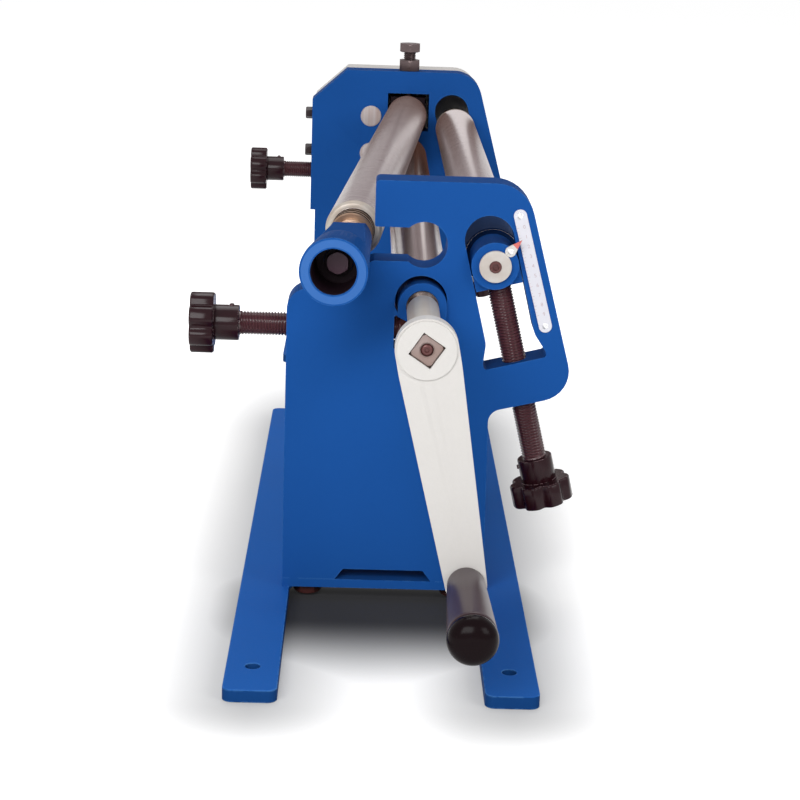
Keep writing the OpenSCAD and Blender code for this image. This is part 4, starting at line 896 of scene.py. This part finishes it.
def scale_marks():
    """Ticks and the digits 0 to 9, counted down from the scale's upper rivet."""
    at = placed((SCALE_X, FRONT_Y - 1.0, SCALE_Z), TO_CRANK, (math.cos(SCALE_LEAN), 0, math.sin(SCALE_LEAN)))
    first, left, half = 7.5, -4.1, 0.12
    bm = bmesh.new()
    for i in range(28):
        down = first + i * 2.2
        right = left + (1.7 if i % 3 == 0 else 0.9)
        top, bottom = half - down, -half - down
        add_plate(bm, [(left, top), (right, top), (right, bottom), (left, bottom)], 0.0, 0.05)
    made("scale_ticks", bm, at, MARK_INK, "frame_body")
    for i in range(10):
        font = bpy.data.curves.new("digit", "FONT")
        font.body = str(i)
        font.size = 0.0034
        font.align_x = "CENTER"
        font.align_y = "CENTER"
        font.extrude = 0.00003
        digit = linked("scale_number_%d" % i, font)
        digit.matrix_world = at @ Matrix.Translation(Vector((0.9, -(first + i * 6.6), 0.04)) * MM)
        bpy.context.view_layer.update()
        mesh = bpy.data.meshes.new_from_object(digit.evaluated_get(bpy.context.evaluated_depsgraph_get()))
        solid = linked("scale_number_cut_%d" % i, mesh)
        solid.matrix_world = digit.matrix_world
        bpy.data.objects.remove(digit)
        solid.data.materials.clear()
        solid.data.materials.append(MARK_INK)
        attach(solid, "frame_body")


def pointer_pieces():
    """White pointer held by its rivet, its outer end painted red."""
    at = placed((REAR_X, FRONT_Y - 6.0, REAR_Z), TO_CRANK, (math.cos(POINTER_TURN), 0, math.sin(POINTER_TURN)))
    eye_r, reach, red_from, steps = 3.5, 24.2, 18.0, 28
    # Round eye about the rivet, from one tangent of the tip to the other
    touch = math.acos(eye_r / (reach - POINTER_RIVET))
    angles = [touch + (2 * math.pi - 2 * touch) * i / steps for i in range(steps + 1)]
    eye = [(POINTER_RIVET + eye_r * math.cos(a), eye_r * math.sin(a)) for a in angles]
    edge = (reach - red_from) * math.tan(math.pi / 2 - touch)
    for name, points, finish, replaced in (
            ("pointer_plate", eye + [(red_from, -edge), (red_from, edge)], CREAM, ["pointer"]),
            ("pointer_red_tip", [(red_from, edge), (red_from, -edge), (reach, 0)], RED_TIP, ())):
        bm = bmesh.new()
        add_plate(bm, points, 0.02, 1.0)
        made(name, bm, at, finish, "rear_carriage", replaced)


rounded_solid("scale_plate_enamel", "scale_plate", 0.25)
pointer_pieces()
scale_marks()


# Floor, light and camera

def rays_that_see(tree, x, y):
    """1 for rays from the camera and from bright or clear surfaces, 0 for those that only light."""
    path = node(tree, "ShaderNodeLightPath", x, y).outputs
    mirrored = maths(tree, "MAXIMUM", x + 200, y - 150, path["Is Glossy Ray"], path["Is Transmission Ray"])
    return maths(tree, "MAXIMUM", x + 200, y, path["Is Camera Ray"], mirrored)


def product(tree, x, y, a, b, c):
    return maths(tree, "MULTIPLY", x + 80, y, maths(tree, "MULTIPLY", x, y, a, b), c)


def studio_floor_finish():
    """Pale floor that keeps the lamps' shadow near the machine, adds a painted shadow under and in front of the
    crank-side frame and beside the rails, and turns into the white backdrop further out.
    """
    mat = bpy.data.materials.new("pale studio floor with painted shadow")
    tree = cleared_tree(mat)
    apart = node(tree, "ShaderNodeSeparateXYZ", -520, -100)
    fed(tree, apart, i0=node(tree, "ShaderNodeTexCoord", -700, -100).outputs["Object"])
    rail_mid = 0.0785
    aside = maths(tree, "ABSOLUTE", -340, -100, apart.outputs["X"])
    forward = maths(tree, "MULTIPLY", -340, -300, apart.outputs["Y"], -1.0)
    from_rail = maths(tree, "ABSOLUTE", -340, -700, maths(tree, "SUBTRACT", -500, -700, aside, rail_mid))
    # Soft edges of the painted shadow: what they go by, start and end in metres, strength at both
    edges = [ramped(tree, -160, -100 - 200 * i, *edge, "SMOOTHSTEP") for i, edge in enumerate((
        (aside, 0.055, 0.175, 1.0, 0.0), (forward, 0.349, 0.517, 1.0, 0.0), (forward, 0.15, 0.31, 0.0, 1.0),
        (from_rail, -0.0035, 0.1215, 0.66, 0.0), (forward, -0.42, -0.08, 0.0, 1.0), (forward, 0.49, 0.60, 1.0, 0.0)))]
    # Painted shadow in front of the crank-side frame and beside the rails
    painted_shadow_under_frame = product(tree, -20, -300, *edges[:3])
    painted_shadow_beside_rails = product(tree, -20, -700, *edges[3:])
    painted_shadow = maths(tree, "MAXIMUM", 120, -400, painted_shadow_under_frame, painted_shadow_beside_rails)
    lit = maths(tree, "MULTIPLY", 180, -100, maths(tree, "SUBTRACT", 100, -100, 1.0, painted_shadow), 0.80)
    matt = fed(tree, node(tree, "ShaderNodeBsdfDiffuse", 450, 150),
               Color=mixed(tree, 250, 200, painted_shadow, (0.92, 0.92, 0.92, 1), (0.055, 0.055, 0.059, 1)))
    glow = fed(tree, node(tree, "ShaderNodeEmission", 450, -100), Color=WHITE,
               Strength=maths(tree, "MULTIPLY", 250, -200, lit, rays_that_see(tree, -160, -350)))
    total = fed(tree, node(tree, "ShaderNodeAddShader", 700, 0), i0=matt, i1=glow)
    fed(tree, node(tree, "ShaderNodeOutputMaterial", 900, 0), Surface=total)
    return mat


def flat_sheet(name, half_x, half_y, finish):
    """Single face that belongs to the studio and not to the machine."""
    bm = bmesh.new()
    bm.faces.new([bm.verts.new((x * half_x, y * half_y, 0)) for x, y in ((-1, -1), (1, -1), (1, 1), (-1, 1))])
    sheet = linked(name, mesh_of(name, bm))
    sheet.data.materials.append(finish)
    return sheet


def aimed(thing, place, target):
    """Puts a lamp or card in its place, facing the target."""
    thing.location = place
    thing.rotation_mode = "QUATERNION"
    thing.rotation_quaternion = (Vector(target) - Vector(place)).to_track_quat("-Z", "Y")


def reflection_card(name, place, target, size, tone):
    """Plain card that is seen only in the bright steel, never by the camera."""
    cloth = bpy.data.materials.new(name + " cloth")
    tree = cleared_tree(cloth)
    shine = fed(tree, node(tree, "ShaderNodeEmission", 0, 0), Color=tone + (1,))
    fed(tree, node(tree, "ShaderNodeOutputMaterial", 300, 0), Surface=shine)
    card = flat_sheet(name, size[0] / 2, size[1] / 2, cloth)
    aimed(card, place, target)
    for ray in ("camera", "diffuse", "shadow", "transmission", "volume_scatter"):
        setattr(card, "visible_" + ray, False)


def soft_lamp(name, place, target, size, watts):
    data = bpy.data.lights.new(name, "AREA")
    data.shape = "RECTANGLE"
    data.size, data.size_y = size
    data.energy = watts
    aimed(linked(name, data), place, target)


def white_backdrop():
    """Pure white where it is seen, and a weak even fill where it only lights."""
    world = bpy.data.worlds.new("white studio")
    bpy.context.scene.world = world
    tree = cleared_tree(world)
    fill = fed(tree, node(tree, "ShaderNodeBackground", 50, 100), Color=WHITE, Strength=0.20)
    seen = fed(tree, node(tree, "ShaderNodeBackground", 50, -100), Color=WHITE, Strength=1.0)
    mix = fed(tree, node(tree, "ShaderNodeMixShader", 300, 0), i0=rays_that_see(tree, -300, 200), i1=fill, i2=seen)
    fed(tree, node(tree, "ShaderNodeOutputWorld", 500, 0), Surface=mix)


def studio():
    """Floor, backdrop, cards that the rolls mirror, and three lamps; metres and watts."""
    floor = flat_sheet("floor", 9, 9, studio_floor_finish())
    floor.location.z = -0.0005
    white_backdrop()
    reflection_card("back_card", (0, 1.9, 0.95), (0, 0.1, 0.27), (2.4, 0.95), (0.32, 0.265, 0.27))
    reflection_card("brown_card", (0.02, 0.352, 0.21), (0.02, -1.0, 0.21), (0.19, 0.16), (0.12, 0.055, 0.04))
    reflection_card("strip_card", (0.072, 0.350, 0.29), (0.072, -1.0, 0.29), (0.030, 0.14), (1.0, 0.95, 0.94))
    soft_lamp("front_softbox", (-0.75, -2.35, 1.45), (0, -0.2, 0.18), (1.7, 1.2), 49)
    soft_lamp("right_fill", (1.5, -1.7, 1.1), (0, -0.3, 0.12), (0.9, 0.9), 13)
    soft_lamp("top_softbox", (0.0, 0.65, 1.8), (0, 0.0, 0.1), (1.2, 1.2), 13)


def photo_camera():
    """Camera found from the photograph's vanishing point."""
    # The machine's X, Y and Z as the camera sees them: right, up and towards it
    seen_x = Vector((0.99941, -0.02798, -0.02013)).normalized()
    seen_y = Vector((-0.01206, 0.26334, -0.96462)).normalized()
    seen_y = (seen_y - seen_x * seen_y.dot(seen_x)).normalized()
    turn = Matrix((seen_x, seen_y, seen_x.cross(seen_y))).to_4x4()
    data = bpy.data.cameras.new("photo_camera")
    data.sensor_width = 36.0
    data.lens = 90.0
    data.clip_start, data.clip_end = 0.05, 50.0
    cam = linked("photo_camera", data)
    cam.matrix_world = Matrix.Translation(Vector((-17.69, FRONT_Y - 1276.0, 488.71)) * MM) @ turn
    bpy.context.scene.camera = cam


studio()
photo_camera()
bpy.context.scene.view_settings.view_transform = "Standard"
bpy.context.view_layer.update()
